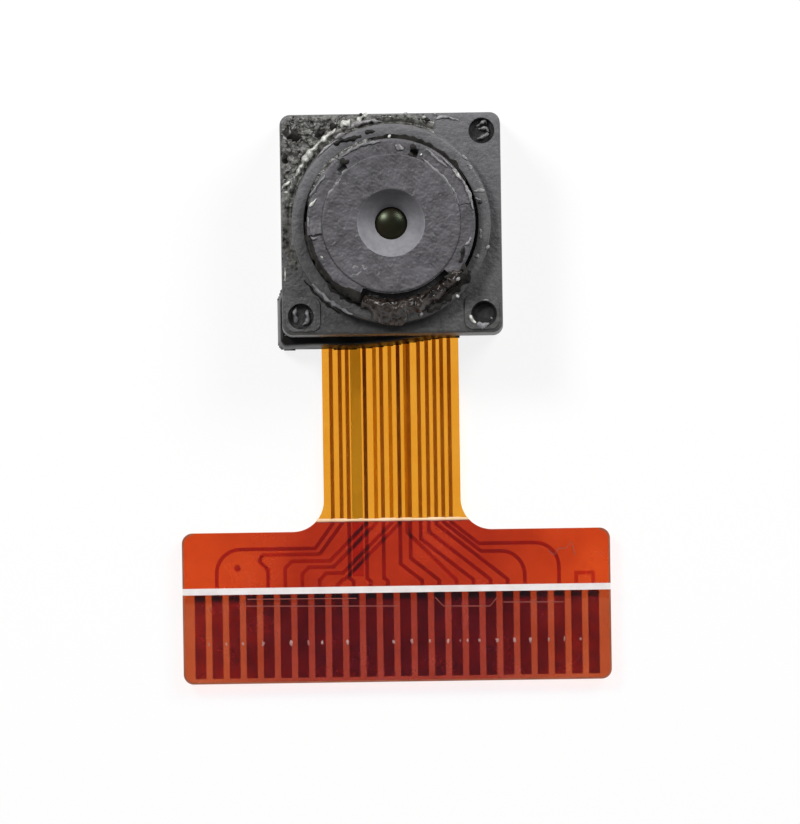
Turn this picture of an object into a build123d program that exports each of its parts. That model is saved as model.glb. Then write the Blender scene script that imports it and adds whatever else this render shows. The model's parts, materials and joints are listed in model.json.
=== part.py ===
from build123d import *
import os

# Fixed-focus camera module: a square lens head on a flat flexible circuit with a contact tail.
# Millimetres. The origin is where the optical axis meets the back face of the head,
# +Z points out of the lens and -Y along the tail.

# Layers of the flexible circuit, from the back up
head_stiffener_thickness = 0.20
head_bond_thickness = 0.03
coverlay_thickness = 0.0275
copper_thickness = 0.018
base_film_thickness = 0.025
tail_bond_thickness = 0.0375
tail_stiffener_thickness = 0.175
index_line_thickness = 0.012

# Outline of the flexible circuit, seen from the lens side
head_corner_radius = 0.30
neck_width = 4.0
neck_offset = -0.09
neck_fillet = 0.90
contact_count = 24
contact_pitch = 0.5
shoulder_distance = 8.89
tail_height = 4.41
tail_corner_radius = 0.30
stiffener_reach = 0.28
bond_squeeze_out = 0.07
index_line_distance = 2.70
index_line_width = 0.19

# Conductors
contact_width = 0.32
contact_end_gap = 0.15
contact_cover_overlap = 0.29
contact_head_start = 0.06
trace_width = 0.11
ground_strip_width = 0.31
ground_strip_x = -1.11
back_lane_start = 0.86
back_lane_pitch = 0.18
fan_start = 0.23
fan_end = 0.24
fan_slope_left = 1.35
fan_slope_right = 0.80
back_fan_slope = 1.0
front_lane_radius = 0.70
back_lane_mitre = 0.20
via_overlap = 0.15
trace_start_distance = 1.75

# How far below the shoulders the front conductors run outwards
left_outer_lane = 0.49
right_outer_lane = 0.41
right_inner_lane = 0.64

# Front conductors: place across the neck, contact number, lane below the shoulders (0 for none)
front_routes = [
    (-1.83, 2, left_outer_lane),
    (-1.36, 10, 0),
    (-0.85, 11, 0),
    (-0.36, 12, 0),
    (0.13, 14, 0),
    (0.43, 15, 0),
    (0.73, 17, 0),
    (0.97, 18, 0),
    (1.19, 19, 0),
    (1.40, 20, right_inner_lane),
    (1.62, 22, right_outer_lane),
]

# The conductor that crosses to the back and returns to the front as a hook above its contact
link_start_x = -1.57
link_contact = 5
link_drop = 0.66
hook_x = -3.93
hook_bow = 0.06
hook_bow_drop = 0.19
hook_drop = 0.43

# Back conductors: place across the neck and contact number, with lanes counted from the outside in
back_left_routes = [(-0.85, 6), (-0.56, 7), (-0.11, 8), (0.13, 9)]
back_straight_route = (0.34, 16)

# The loop that joins the last two contacts, and a lone via pad
loop_drop = 1.31
via_pad_x = -4.64
via_pad_y = -9.93
via_pad_radius = 0.10

# Image sensor and the small parts beside it
sensor_width = 4.2
ball_columns = 6
ball_rows = 4
ball_pitch_x = 0.6
ball_pitch_y = 0.8
ball_radius = 0.15
ball_sides = 6
ball_height = 0.13
pad_width = 0.30
die_thickness = 0.15
dam_height = 0.04
dam_wall = 0.35
cover_glass_thickness = 0.40
capacitor_length = 0.60
capacitor_width = 0.30
capacitor_height = 0.30
capacitor_cap_length = 0.15
capacitor_gap = 0.125
capacitor_spacing = 2.0

# Lens holder
holder_bond_thickness = 0.04
holder_height = 2.81
holder_wall = 0.575
holder_draft = 0.05
face_edge_chamfer = 0.08
collar_gap = 0.09
collar_wall = 0.35
collar_height = 0.50
collar_relief_depth = 0.55
collar_edge_chamfer = 0.05
thread_clearance = 0.02
filter_gap = 0.30
filter_width = 4.0
filter_thickness = 0.21
filter_clearance = 0.05
roof_thickness = 0.25
roof_window_width = 3.0
mark_inset = 0.535
mark_radius = 0.38
mark_depth = 0.14
mark_bar_width = 0.13
mark_bar_length = 0.42
mark_bar_drop = 0.05
mark_turns = (40, -50, 0)
pit_depth = 0.28
pit_floor_radius = 0.20
corner_pad_width = 1.02
corner_pad_height = 0.05
corner_pad_radius = 0.30

# Lens barrel and what it holds
barrel_radius = 2.42
barrel_length = 2.30
barrel_floor_gap = 0.10
rim_step_width = 0.42
rim_step_depth = 0.06
rim_chamfer = 0.05
notch_count = 6
notch_start_angle = 11
notch_width = 0.30
notch_depth = 0.24
gate_ledge_width = 0.39
gate_ledge_depth = 0.30
gate_ledge_start = 246
gate_ledge_sweep = 72
cone_mouth_radius = 0.98
pupil_radius = 0.47
cone_depth = 0.60
pupil_land = 0.10
front_lens_radius = 1.05
front_lens_edge = 0.38
stop_thickness = 0.06
stop_radius = 0.42
middle_lens_radius = 1.32
middle_lens_edge = 0.34
spacer_thickness = 0.12
rear_lens_radius = 1.64
rear_lens_edge = 0.45
retainer_thickness = 0.17
lens_clearance = 0.01
lens_flange = 0.24
front_lens_crown = 0.13
front_lens_back_crown = -0.04
middle_lens_crown = -0.05
middle_lens_back_crown = 0.05
rear_lens_crown = 0.03
rear_lens_back_crown = -0.05

# Adhesive that shows on the outside
collar_glue_width = 0.23
collar_glue_height = 0.36
collar_glue_shoulder_width = 0.16
collar_glue_shoulder_height = 0.22
collar_glue_start = 66
collar_glue_sweep = 142
smear_thickness = 0.07
smear_corner_radius = 0.16
smear_reach = 0.90
smear_notch = 0.30
rim_glue_depth = 0.12
rim_glue_crown = 0.31
rim_glue_reach = 0.20
rim_glue_margin = 3
base_glue_height = 0.62
base_glue_reach = 0.33
base_glue_side_reach = 0.13
base_glue_corner_radius = 0.25
base_glue_edge_chamfer = 0.20
base_glue_side_length = 1.40
base_glue_tail_reach = 0.05
base_glue_full_width = 2.10

# Levels, from the back up
back_coverlay_z = head_stiffener_thickness + head_bond_thickness
back_copper_z = back_coverlay_z + coverlay_thickness
base_film_z = back_copper_z + copper_thickness
front_copper_z = base_film_z + base_film_thickness
front_coverlay_z = front_copper_z + copper_thickness
flex_top_z = front_coverlay_z + coverlay_thickness
tail_stiffener_z = flex_top_z + tail_bond_thickness
tail_top_z = tail_stiffener_z + tail_stiffener_thickness
die_z = front_coverlay_z + ball_height
dam_z = die_z + die_thickness
cover_glass_z = dam_z + dam_height
filter_z = cover_glass_z + cover_glass_thickness + filter_gap
roof_z = filter_z + filter_thickness
thread_floor_z = roof_z + roof_thickness
holder_z = flex_top_z + holder_bond_thickness
face_z = holder_z + holder_height
collar_top_z = face_z + collar_height
barrel_z = thread_floor_z + barrel_floor_gap
barrel_top_z = barrel_z + barrel_length
gate_ledge_z = barrel_top_z - gate_ledge_depth
front_lens_z = barrel_top_z - cone_depth - pupil_land
stop_z = front_lens_z - front_lens_edge
middle_lens_z = stop_z - stop_thickness
spacer_z = middle_lens_z - middle_lens_edge
rear_lens_z = spacer_z - spacer_thickness
retainer_z = rear_lens_z - rear_lens_edge

# Clear radii inside the flanges of the lenses
front_clear_radius = front_lens_radius - lens_flange
middle_clear_radius = middle_lens_radius - lens_flange
rear_clear_radius = rear_lens_radius - lens_flange

# Widths and radii that follow from their neighbours
cavity_width = sensor_width + 2 * (capacitor_width + 2 * capacitor_gap)
capacitor_x = sensor_width / 2 + capacitor_gap + capacitor_width / 2
head_width = cavity_width + 2 * holder_wall
face_width = head_width - 2 * holder_draft
face_flat = face_width / 2 - face_edge_chamfer
mark_place = face_width / 2 - mark_inset
collar_bore_radius = barrel_radius + collar_gap
collar_radius = collar_bore_radius + collar_wall
rim_step_radius = barrel_radius - rim_step_width
gate_ledge_radius = barrel_radius - gate_ledge_width

# Places along the tail
tail_width = (contact_count + 1) * contact_pitch
shoulder_y = -shoulder_distance
tail_end_y = shoulder_y - tail_height
stiffener_edge_y = shoulder_y + stiffener_reach
index_line_y = tail_end_y + index_line_distance
contact_head_y = index_line_y - contact_head_start
contact_tip_y = tail_end_y + contact_end_gap
back_coverlay_edge_y = contact_head_y - contact_cover_overlap
link_y = shoulder_y - link_drop
fan_start_y = shoulder_y + fan_start
fan_end_y = index_line_y + fan_end


def at(x, y, z, shape):
    return Pos(x, y, z) * shape


def block(width, length, height, x=0, y=0, z=0):
    """A box that stands on the level z."""
    return at(x, y, z, Box(width, length, height, align=(Align.CENTER, Align.CENTER, Align.MIN)))


def disc(radius, height, z=0):
    """A cylinder about the optical axis that stands on the level z."""
    return at(0, 0, z, Cylinder(radius, height, align=(Align.CENTER, Align.CENTER, Align.MIN)))


def ring(outer_radius, inner_radius, height, z):
    return disc(outer_radius, height, z) - disc(inner_radius, height, z)


def strip_below(top_y, bottom_y):
    """A wide rectangle that keeps what lies between two places along the tail."""
    return Pos(0, (top_y + bottom_y) / 2) * Rectangle(2 * tail_width, top_y - bottom_y)


def layer(sketch, thickness, z):
    """A flat outline given a thickness, standing on the level z."""
    return at(0, 0, z, extrude(sketch, thickness, dir=(0, 0, 1)))


def sector(start, sweep, radius):
    """A flat pie slice wide enough to cover the ring it trims."""
    half = Rot(0, 0, start) * (Pos(0, radius) * Rectangle(2 * radius, 2 * radius))
    other = Rot(0, 0, start + sweep - 180) * (Pos(0, radius) * Rectangle(2 * radius, 2 * radius))
    return half & other


# Flexible circuit

def flex_outline():
    """Head pad, neck and contact tail cut as one sheet, with the neck flaring into the shoulders."""
    pad = RectangleRounded(head_width, head_width, head_corner_radius)
    neck = Pos(neck_offset, shoulder_y / 2) * Rectangle(neck_width, shoulder_distance)
    tail_middle_y = (shoulder_y + tail_end_y) / 2
    tail = Pos(0, tail_middle_y) * RectangleRounded(tail_width, tail_height, tail_corner_radius)
    sheet = pad + neck + tail
    roots = []
    for vertex in sheet.vertices():
        on_neck_side = abs(abs(vertex.X - neck_offset) - neck_width / 2) < 0.001
        if on_neck_side and abs(vertex.Y - shoulder_y) < 0.001:
            roots.append(vertex)
    return fillet(roots, neck_fillet)


def flex_base_film():
    return layer(flex_outline(), base_film_thickness, base_film_z)


def front_coverlay():
    window = Rectangle(cavity_width, cavity_width)
    return layer(flex_outline() - window, coverlay_thickness, front_coverlay_z)


def back_coverlay():
    covered = flex_outline() & strip_below(head_width, back_coverlay_edge_y)
    return layer(covered, coverlay_thickness, back_coverlay_z)


def tail_part(top_y):
    return flex_outline() & strip_below(top_y, tail_end_y)


def tail_adhesive():
    return layer(tail_part(stiffener_edge_y + bond_squeeze_out), tail_bond_thickness, flex_top_z)


def tail_stiffener():
    return layer(tail_part(stiffener_edge_y), tail_stiffener_thickness, tail_stiffener_z)


def index_line():
    return block(tail_width, index_line_width, index_line_thickness, 0, index_line_y, tail_top_z)


def head_sheet(thickness, z):
    return layer(RectangleRounded(head_width, head_width, head_corner_radius), thickness, z)


# Conductors

def contact_x(number):
    return (number - (contact_count + 1) / 2) * contact_pitch


def conductor(points, radii, z):
    """A flat conductor along a path of straight runs, rounded at the inner points that have a radius."""
    path = FilletPolyline(*points, radius=radii)
    return layer(trace(path, line_width=trace_width), copper_thickness, z)


def slant(start_x, end_x, end_y, slope):
    """A path that leaves the neck on a slant and meets its contact's line where the fan ends."""
    bend_y = fan_end_y + abs(end_x - start_x) * slope
    return [(start_x, -trace_start_distance), (start_x, bend_y), (end_x, fan_end_y), (end_x, end_y)]


def lane(start_x, end_x, lane_y, end_y, slope):
    """A path that slants out of the neck into a lane along the shoulder, then turns down to its contact."""
    side = 1 if end_x > start_x else -1
    lane_x = start_x + side * (fan_start_y - lane_y) / slope
    return [(start_x, -trace_start_distance), (start_x, fan_start_y), (lane_x, lane_y), (end_x, lane_y),
            (end_x, end_y)]


def link_start():
    """The first stretch of the crossing conductor, out of the neck to where it passes to the back."""
    return lane(link_start_x, hook_x, link_y, link_y, fan_slope_left)[:3]


def mitred(path):
    """The same path with its last square corner cut off at 45 degrees."""
    corner_x, corner_y = path[-2]
    side = 1 if corner_x > path[-3][0] else -1
    cut = [(corner_x - side * back_lane_mitre, corner_y), (corner_x, corner_y - back_lane_mitre)]
    return path[:-2] + cut + path[-1:]


def signal_traces():
    """Front conductors, which change sides over the heads of their contacts."""
    end_y = contact_head_y - via_overlap
    traces = []
    for start_x, number, lane_drop in front_routes:
        end_x = contact_x(number)
        slope = fan_slope_left if end_x < start_x else fan_slope_right
        if lane_drop:
            path = lane(start_x, end_x, shoulder_y - lane_drop, end_y, slope)
            traces.append(conductor(path, [0, 0, front_lane_radius], front_copper_z))
        else:
            traces.append(conductor(slant(start_x, end_x, end_y, slope), [0, 0], front_copper_z))
    hook_end_x = contact_x(link_contact)
    hook = [(hook_x, link_y), (hook_x - hook_bow, link_y - hook_bow_drop),
            (hook_end_x, link_y - hook_drop), (hook_end_x, end_y)]
    traces.append(conductor(link_start(), [0], front_copper_z))
    traces.append(conductor(hook, [0, 0], front_copper_z))
    traces.append(layer(Pos(via_pad_x, via_pad_y) * Circle(via_pad_radius), copper_thickness, front_copper_z))
    return Compound(traces)


def ground_strip():
    length = -trace_start_distance - fan_end_y - via_overlap
    middle_y = -trace_start_distance - length / 2
    return block(ground_strip_width, length, copper_thickness, ground_strip_x, middle_y, front_copper_z)


def back_traces():
    """Back conductors, each of which ends at the head of its own contact."""
    traces = []
    for place, (start_x, number) in enumerate(back_left_routes):
        lane_y = shoulder_y - back_lane_start - place * back_lane_pitch
        path = lane(start_x, contact_x(number), lane_y, contact_head_y, back_fan_slope)
        traces.append(conductor(mitred(path), [0, 0, 0, 0], back_copper_z))
    start_x, number = back_straight_route
    path = slant(start_x, contact_x(number), contact_head_y, back_fan_slope)
    traces.append(conductor(path, [0, 0], back_copper_z))
    first_x, last_x = contact_x(contact_count - 1), contact_x(contact_count)
    loop_y = shoulder_y - loop_drop
    loop = [(first_x, contact_head_y), (first_x, loop_y), (last_x, loop_y), (last_x, contact_head_y)]
    traces.append(conductor(loop, [0, 0], back_copper_z))
    link_x = link_start()[-1][0]
    link = block(link_x - hook_x, trace_width, copper_thickness, (link_x + hook_x) / 2, link_y, back_copper_z)
    return Compound(traces + [link])


def contact_fingers():
    length = contact_head_y - contact_tip_y
    middle_y = (contact_head_y + contact_tip_y) / 2
    fingers = []
    for number in range(1, contact_count + 1):
        x = contact_x(number)
        fingers.append(block(contact_width, length, copper_thickness, x, middle_y, back_copper_z))
    return Compound(fingers)


# Image sensor

def ball_places():
    return GridLocations(ball_pitch_x, ball_pitch_y, ball_columns, ball_rows).locations


def capacitor_places():
    return GridLocations(2 * capacitor_x, capacitor_spacing, 2, 2).locations


def capacitor_end_places():
    """Where the two end terminals of each capacitor stand."""
    ends = GridLocations(0, capacitor_length - capacitor_cap_length, 1, 2).locations
    return [place * end for place in capacitor_places() for end in ends]


def solder_pads():
    pad = block(pad_width, pad_width, copper_thickness, z=front_copper_z)
    end_pad = block(capacitor_width, capacitor_cap_length, copper_thickness, z=front_copper_z)
    pads = [place * pad for place in ball_places()]
    pads += [place * end_pad for place in capacitor_end_places()]
    return Compound(pads)


def solder_balls():
    """Reflowed balls, pressed flat by the sensor, as short faceted drums."""
    drum = layer(RegularPolygon(ball_radius, ball_sides), ball_height, front_coverlay_z)
    return Compound([place * drum for place in ball_places()])


def sensor_die():
    return block(sensor_width, sensor_width, die_thickness, z=die_z)


def sensor_dam():
    inner_width = sensor_width - 2 * dam_wall
    frame = block(sensor_width, sensor_width, dam_height, z=dam_z)
    return frame - block(inner_width, inner_width, dam_height, z=dam_z)


def sensor_cover_glass():
    return block(sensor_width, sensor_width, cover_glass_thickness, z=cover_glass_z)


def capacitor_bodies():
    length = capacitor_length - 2 * capacitor_cap_length
    body = block(capacitor_width, length, capacitor_height, z=front_coverlay_z)
    return Compound([place * body for place in capacitor_places()])


def capacitor_terminals():
    terminal = block(capacitor_width, capacitor_cap_length, capacitor_height, z=front_coverlay_z)
    return Compound([place * terminal for place in capacitor_end_places()])


# Lens holder

def holder_block():
    """The square body with moulding draft, from its foot to its front face."""
    foot = RectangleRounded(head_width, head_width, head_corner_radius)
    front = RectangleRounded(face_width, face_width, head_corner_radius)
    return loft([at(0, 0, holder_z, foot), at(0, 0, face_z, front)], ruled=True)


def corner_mark(x, y, turn):
    """A round mould mark sunk in the face, with a short bar standing in it."""
    sink = disc(mark_radius, mark_depth + corner_pad_height, face_z - mark_depth)
    bar = block(mark_bar_width, mark_bar_length, mark_depth - mark_bar_drop, z=face_z - mark_depth)
    return at(x, y, 0, Rot(0, 0, turn) * (sink - bar))


def corner_pit(x, y):
    depth = pit_depth + corner_pad_height
    return at(x, y, face_z - pit_depth, Cone(pit_floor_radius, mark_radius, depth,
                                            align=(Align.CENTER, Align.CENTER, Align.MIN)))


def corner_pad(side):
    """A raised pad in a lower corner of the face, following the body's own corner."""
    x = side * (face_flat - corner_pad_width / 2)
    y = -(face_flat - corner_pad_width / 2)
    pad = Pos(x, y) * RectangleRounded(corner_pad_width, corner_pad_width, corner_pad_radius)
    return layer(pad, corner_pad_height, face_z)


def lens_holder():
    body = holder_block()
    body = chamfer(body.faces().sort_by(Axis.Z)[-1].edges(), face_edge_chamfer)
    collar = disc(collar_radius, collar_height, face_z)
    collar = chamfer(collar.faces().sort_by(Axis.Z)[-1].edges(), collar_edge_chamfer)
    body = body + collar + corner_pad(-1) + corner_pad(1)
    body -= block(cavity_width, cavity_width, filter_z - holder_z, z=holder_z)
    seat_width = filter_width + 2 * filter_clearance
    body -= block(seat_width, seat_width, filter_thickness, z=filter_z)
    body -= block(roof_window_width, roof_window_width, roof_thickness, z=roof_z)
    body -= disc(barrel_radius + thread_clearance, collar_top_z - thread_floor_z, thread_floor_z)
    body -= disc(collar_bore_radius, collar_relief_depth, collar_top_z - collar_relief_depth)
    body -= corner_mark(-mark_place, mark_place, mark_turns[0])
    body -= corner_mark(mark_place, mark_place, mark_turns[1])
    body -= corner_mark(-mark_place, -mark_place, mark_turns[2])
    body -= corner_pit(mark_place, -mark_place)
    return body


def holder_bond():
    foot = RectangleRounded(head_width, head_width, head_corner_radius)
    return layer(foot - Rectangle(cavity_width, cavity_width), holder_bond_thickness, flex_top_z)


def infrared_filter():
    return block(filter_width, filter_width, filter_thickness, z=filter_z)


# Lens barrel

def lens_bore(radius, top_z, bottom_z):
    return disc(radius, top_z - bottom_z, bottom_z)


def driver_notches():
    """Slots across the rim, for the tool that screws the barrel to its focus."""
    notches = []
    length = barrel_radius - rim_step_radius
    for turn in range(notch_count):
        angle = notch_start_angle + turn * 360 / notch_count
        slot = block(2 * length, notch_width, notch_depth, rim_step_radius + length)
        notches.append(at(0, 0, barrel_top_z - notch_depth, Rot(0, 0, angle) * slot))
    return notches


def gate_ledge():
    """The sunken stretch of rim where the moulding gate was cut off."""
    outline = sector(gate_ledge_start, gate_ledge_sweep, 2 * barrel_radius)
    slice_of_rim = layer(outline, 2 * gate_ledge_depth, gate_ledge_z)
    return slice_of_rim - disc(gate_ledge_radius, 2 * gate_ledge_depth, gate_ledge_z)


def lens_barrel():
    body = disc(barrel_radius, barrel_length - rim_step_depth, barrel_z)
    body = chamfer(body.faces().sort_by(Axis.Z)[-1].edges(), rim_chamfer)
    body = body + disc(rim_step_radius, rim_step_depth, barrel_top_z - rim_step_depth)
    cone_z = barrel_top_z - cone_depth
    body -= at(0, 0, cone_z, Cone(pupil_radius, cone_mouth_radius, cone_depth,
                                 align=(Align.CENTER, Align.CENTER, Align.MIN)))
    body -= lens_bore(pupil_radius, cone_z, front_lens_z)
    body -= lens_bore(front_lens_radius, front_lens_z, barrel_z)
    body -= lens_bore(middle_lens_radius, middle_lens_z, barrel_z)
    body -= lens_bore(rear_lens_radius, rear_lens_z, barrel_z)
    for notch in driver_notches():
        body -= notch
    return body - gate_ledge()


def dome_rise(clear_radius, sag):
    """Height of a spherical face above its edge, half way out from the axis."""
    sphere_radius = (clear_radius ** 2 + sag ** 2) / (2 * abs(sag))
    rise = abs(sag) - sphere_radius + (sphere_radius ** 2 - clear_radius ** 2 / 4) ** 0.5
    return rise if sag > 0 else -rise


def lens_face(clear_radius, edge_z, crown):
    """The half profile of a spherical lens face, from the axis out to its clear radius."""
    middle = (clear_radius / 2, 0, edge_z + dome_rise(clear_radius, crown))
    return ThreePointArc((0, 0, edge_z + crown), middle, (clear_radius, 0, edge_z))


def lens_element(bore_radius, top_z, edge, front_clear, front_crown, back_clear, back_crown):
    """A moulded lens: a flat flange and two spherical faces. A negative crown is a hollow face."""
    radius = bore_radius - lens_clearance
    bottom_z = top_z - edge
    front = lens_face(front_clear, top_z, front_crown)
    back = lens_face(back_clear, bottom_z, -back_crown)
    flange = Polyline((front_clear, 0, top_z), (radius, 0, top_z),
                      (radius, 0, bottom_z), (back_clear, 0, bottom_z))
    spine = Line((0, 0, bottom_z - back_crown), (0, 0, top_z + front_crown))
    return revolve(make_face([front, flange, back, spine]), Axis.Z, 360)


def front_lens():
    return lens_element(front_lens_radius, front_lens_z, front_lens_edge,
                        pupil_radius, front_lens_crown, front_clear_radius, front_lens_back_crown)


def middle_lens():
    return lens_element(middle_lens_radius, middle_lens_z, middle_lens_edge,
                        front_clear_radius, middle_lens_crown, middle_clear_radius, middle_lens_back_crown)


def rear_lens():
    return lens_element(rear_lens_radius, rear_lens_z, rear_lens_edge,
                        middle_clear_radius, rear_lens_crown, rear_clear_radius, rear_lens_back_crown)


def aperture_stop():
    return ring(front_lens_radius - lens_clearance, stop_radius, stop_thickness, middle_lens_z)


def spacer_ring():
    return ring(middle_lens_radius - lens_clearance, middle_clear_radius, spacer_thickness, rear_lens_z)


def retainer_ring():
    return ring(rear_lens_radius - lens_clearance, rear_clear_radius, retainer_thickness,
                retainer_z - retainer_thickness)


# Adhesive

def collar_glue():
    """A bead along the foot of the collar and a thin smear that fills the corner beside it."""
    shoulder = (collar_radius + collar_glue_shoulder_width, 0, face_z + collar_glue_shoulder_height)
    corner = (collar_radius, 0, face_z)
    section = Polyline(corner, (collar_radius + collar_glue_width, 0, face_z), shoulder,
                       (collar_radius, 0, face_z + collar_glue_height), corner)
    bead = Rot(0, 0, collar_glue_start) * revolve(make_face(section), Axis.Z, collar_glue_sweep)
    near_mark = mark_place - mark_radius - smear_corner_radius
    under_bead = collar_radius / 2
    outline = Polygon((-face_flat, smear_reach), (-face_flat, near_mark),
                      (-near_mark - smear_notch, near_mark), (-near_mark, near_mark + smear_notch),
                      (-near_mark, face_flat), (-smear_reach, face_flat),
                      (-under_bead, under_bead), align=None)
    smear = layer(fillet(outline.vertices(), smear_corner_radius), smear_thickness, face_z)
    return bead + (smear - disc(collar_radius, smear_thickness, face_z))


def rim_glue():
    """Adhesive run into the sunken stretch of rim and down onto the collar."""
    inner = (gate_ledge_radius, 0, gate_ledge_z)
    profile = Polyline(inner, (gate_ledge_radius, 0, gate_ledge_z + rim_glue_depth),
                       (gate_ledge_radius + rim_glue_crown, 0, gate_ledge_z + rim_glue_depth),
                       (collar_bore_radius + rim_glue_reach, 0, collar_top_z),
                       (barrel_radius, 0, collar_top_z), (barrel_radius, 0, gate_ledge_z), inner)
    sweep = gate_ledge_sweep - 2 * rim_glue_margin
    return Rot(0, 0, gate_ledge_start + rim_glue_margin) * revolve(make_face(profile), Axis.Z, sweep)


def base_glue():
    """The lip of adhesive that seals the foot of the holder where the circuit leaves it."""
    half = head_width / 2
    left = -half - base_glue_side_reach
    low = -half - base_glue_reach
    right = neck_offset + neck_width / 2
    inner_y = base_glue_side_length - half
    outline = Polygon((-half, inner_y), (left, inner_y - base_glue_reach),
                      (left, -half - base_glue_side_reach), (-half, low), (-half + base_glue_full_width, low),
                      (right, -half - base_glue_tail_reach), (right, inner_y), align=None)
    lip = layer(fillet(outline.vertices(), base_glue_corner_radius), base_glue_height, flex_top_z)
    lip = chamfer(lip.faces().sort_by(Axis.Z)[-1].edges(), base_glue_edge_chamfer)
    lip -= block(head_width, head_width, holder_bond_thickness, z=flex_top_z)
    return lip - holder_block()


NODES = {
    "head_stiffener": head_sheet(head_stiffener_thickness, 0),
    "head_adhesive": head_sheet(head_bond_thickness, head_stiffener_thickness),
    "back_coverlay": back_coverlay(),
    "back_traces": back_traces(),
    "contact_fingers": contact_fingers(),
    "flex_base_film": flex_base_film(),
    "signal_traces": signal_traces(),
    "ground_strip": ground_strip(),
    "solder_pads": solder_pads(),
    "front_coverlay": front_coverlay(),
    "tail_adhesive": tail_adhesive(),
    "tail_stiffener": tail_stiffener(),
    "index_line": index_line(),
    "solder_balls": solder_balls(),
    "sensor_die": sensor_die(),
    "sensor_dam": sensor_dam(),
    "sensor_cover_glass": sensor_cover_glass(),
    "capacitor_bodies": capacitor_bodies(),
    "capacitor_terminals": capacitor_terminals(),
    "holder_bond": holder_bond(),
    "lens_holder": lens_holder(),
    "infrared_filter": infrared_filter(),
    "lens_barrel": lens_barrel(),
    "front_lens": front_lens(),
    "aperture_stop": aperture_stop(),
    "middle_lens": middle_lens(),
    "spacer_ring": spacer_ring(),
    "rear_lens": rear_lens(),
    "retainer_ring": retainer_ring(),
    "collar_glue": collar_glue(),
    "rim_glue": rim_glue(),
    "base_glue": base_glue(),
}

os.makedirs("parts", exist_ok=True)
for name, shape in NODES.items():
    export_step(shape, f"parts/{name}.step")
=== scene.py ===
import json
import math

import bpy
import bmesh
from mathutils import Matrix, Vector, noise
from mathutils.geometry import delaunay_2d_cdt


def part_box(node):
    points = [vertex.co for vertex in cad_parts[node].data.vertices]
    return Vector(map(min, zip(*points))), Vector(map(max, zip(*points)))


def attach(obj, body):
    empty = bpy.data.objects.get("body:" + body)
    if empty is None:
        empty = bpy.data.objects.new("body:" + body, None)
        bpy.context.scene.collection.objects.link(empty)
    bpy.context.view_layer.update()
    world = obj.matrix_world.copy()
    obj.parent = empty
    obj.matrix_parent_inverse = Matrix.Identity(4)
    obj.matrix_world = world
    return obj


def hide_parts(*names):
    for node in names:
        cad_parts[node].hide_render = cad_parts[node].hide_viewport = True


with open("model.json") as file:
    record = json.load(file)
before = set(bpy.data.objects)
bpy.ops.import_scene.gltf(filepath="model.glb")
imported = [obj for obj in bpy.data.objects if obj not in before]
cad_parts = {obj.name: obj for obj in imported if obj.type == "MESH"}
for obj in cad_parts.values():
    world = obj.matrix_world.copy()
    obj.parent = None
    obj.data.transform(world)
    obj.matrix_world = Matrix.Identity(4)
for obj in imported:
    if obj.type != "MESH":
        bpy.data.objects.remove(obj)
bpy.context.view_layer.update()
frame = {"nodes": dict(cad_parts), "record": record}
nodes = frame["nodes"]

MM = 0.001

# Photograph: the camera looks straight down on the lens, with the tail towards the bottom edge
PHOTO_HEIGHT = 824
FOCAL_PIXELS = 6852
SENSOR = 36.0
CAMERA_PLACE = Vector((0.176, -5.43, 200.56)) * MM
CAMERA_ROLL = math.radians(-0.85)


# Shader helpers

def new_material(name):
    material = bpy.data.materials.new(name)
    material.use_nodes = True
    tree = material.node_tree
    tree.nodes.clear()
    output = tree.nodes.new("ShaderNodeOutputMaterial")
    shader = tree.nodes.new("ShaderNodeBsdfPrincipled")
    tree.links.new(shader.outputs["BSDF"], output.inputs["Surface"])
    return material, tree, shader


def made(tree, kind, output, inputs, **settings):
    """The named output of a new shader node, whose inputs are other nodes' outputs or constants."""
    node = tree.nodes.new("ShaderNode" + kind)
    for name, value in settings.items():
        setattr(node, name, value)
    for place, value in inputs.items():
        if isinstance(value, bpy.types.NodeSocket):
            tree.links.new(value, node.inputs[place])
        else:
            node.inputs[place].default_value = value
    return node.outputs[output]


def position(tree):
    return made(tree, "TexCoord", "Object", {})


def ray_kind(tree, kind):
    return made(tree, "LightPath", kind, {})


def noise_field(tree, per_mm, detail=4.0, roughness=0.55):
    """Noise with about per_mm features in a millimetre."""
    place = made(tree, "Mapping", "Vector", {"Vector": position(tree), "Scale": [1 / MM] * 3})
    return made(tree, "TexNoise", "Fac",
                {"Vector": place, "Scale": per_mm, "Detail": detail, "Roughness": roughness})


def ramp(tree, value, low, high, at_low=0.35, at_high=0.65):
    """Colour that runs from low to high while value runs from at_low to at_high."""
    node = tree.nodes.new("ShaderNodeValToRGB")
    node.color_ramp.elements[0].position = at_low
    node.color_ramp.elements[0].color = (*low, 1)
    node.color_ramp.elements[1].position = at_high
    node.color_ramp.elements[1].color = (*high, 1)
    tree.links.new(value, node.inputs["Fac"])
    return node.outputs["Color"]


def scaled(tree, value, at_low, at_high, low, high):
    """Number that runs from low to high while value runs from at_low to at_high."""
    return made(tree, "MapRange", "Result",
                {"Value": value, "From Min": at_low, "From Max": at_high, "To Min": low, "To Max": high})


def mixed(tree, share, first, second, blend="MIX"):
    """Colour that runs from first to second, or to their blend, while share runs from 0 to 1."""
    return made(tree, "MixRGB", "Color", {"Fac": share, "Color1": first, "Color2": second},
                blend_type=blend)


def show(tree, share, first, second):
    """Gives the surface, or the world, the first shader where share is 0 and the second where it is 1."""
    mix = made(tree, "MixShader", "Shader", {"Fac": share, 1: first, 2: second})
    output = [node for node in tree.nodes if node.type.startswith("OUTPUT")][0]
    tree.links.new(mix, output.inputs["Surface"])


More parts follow.
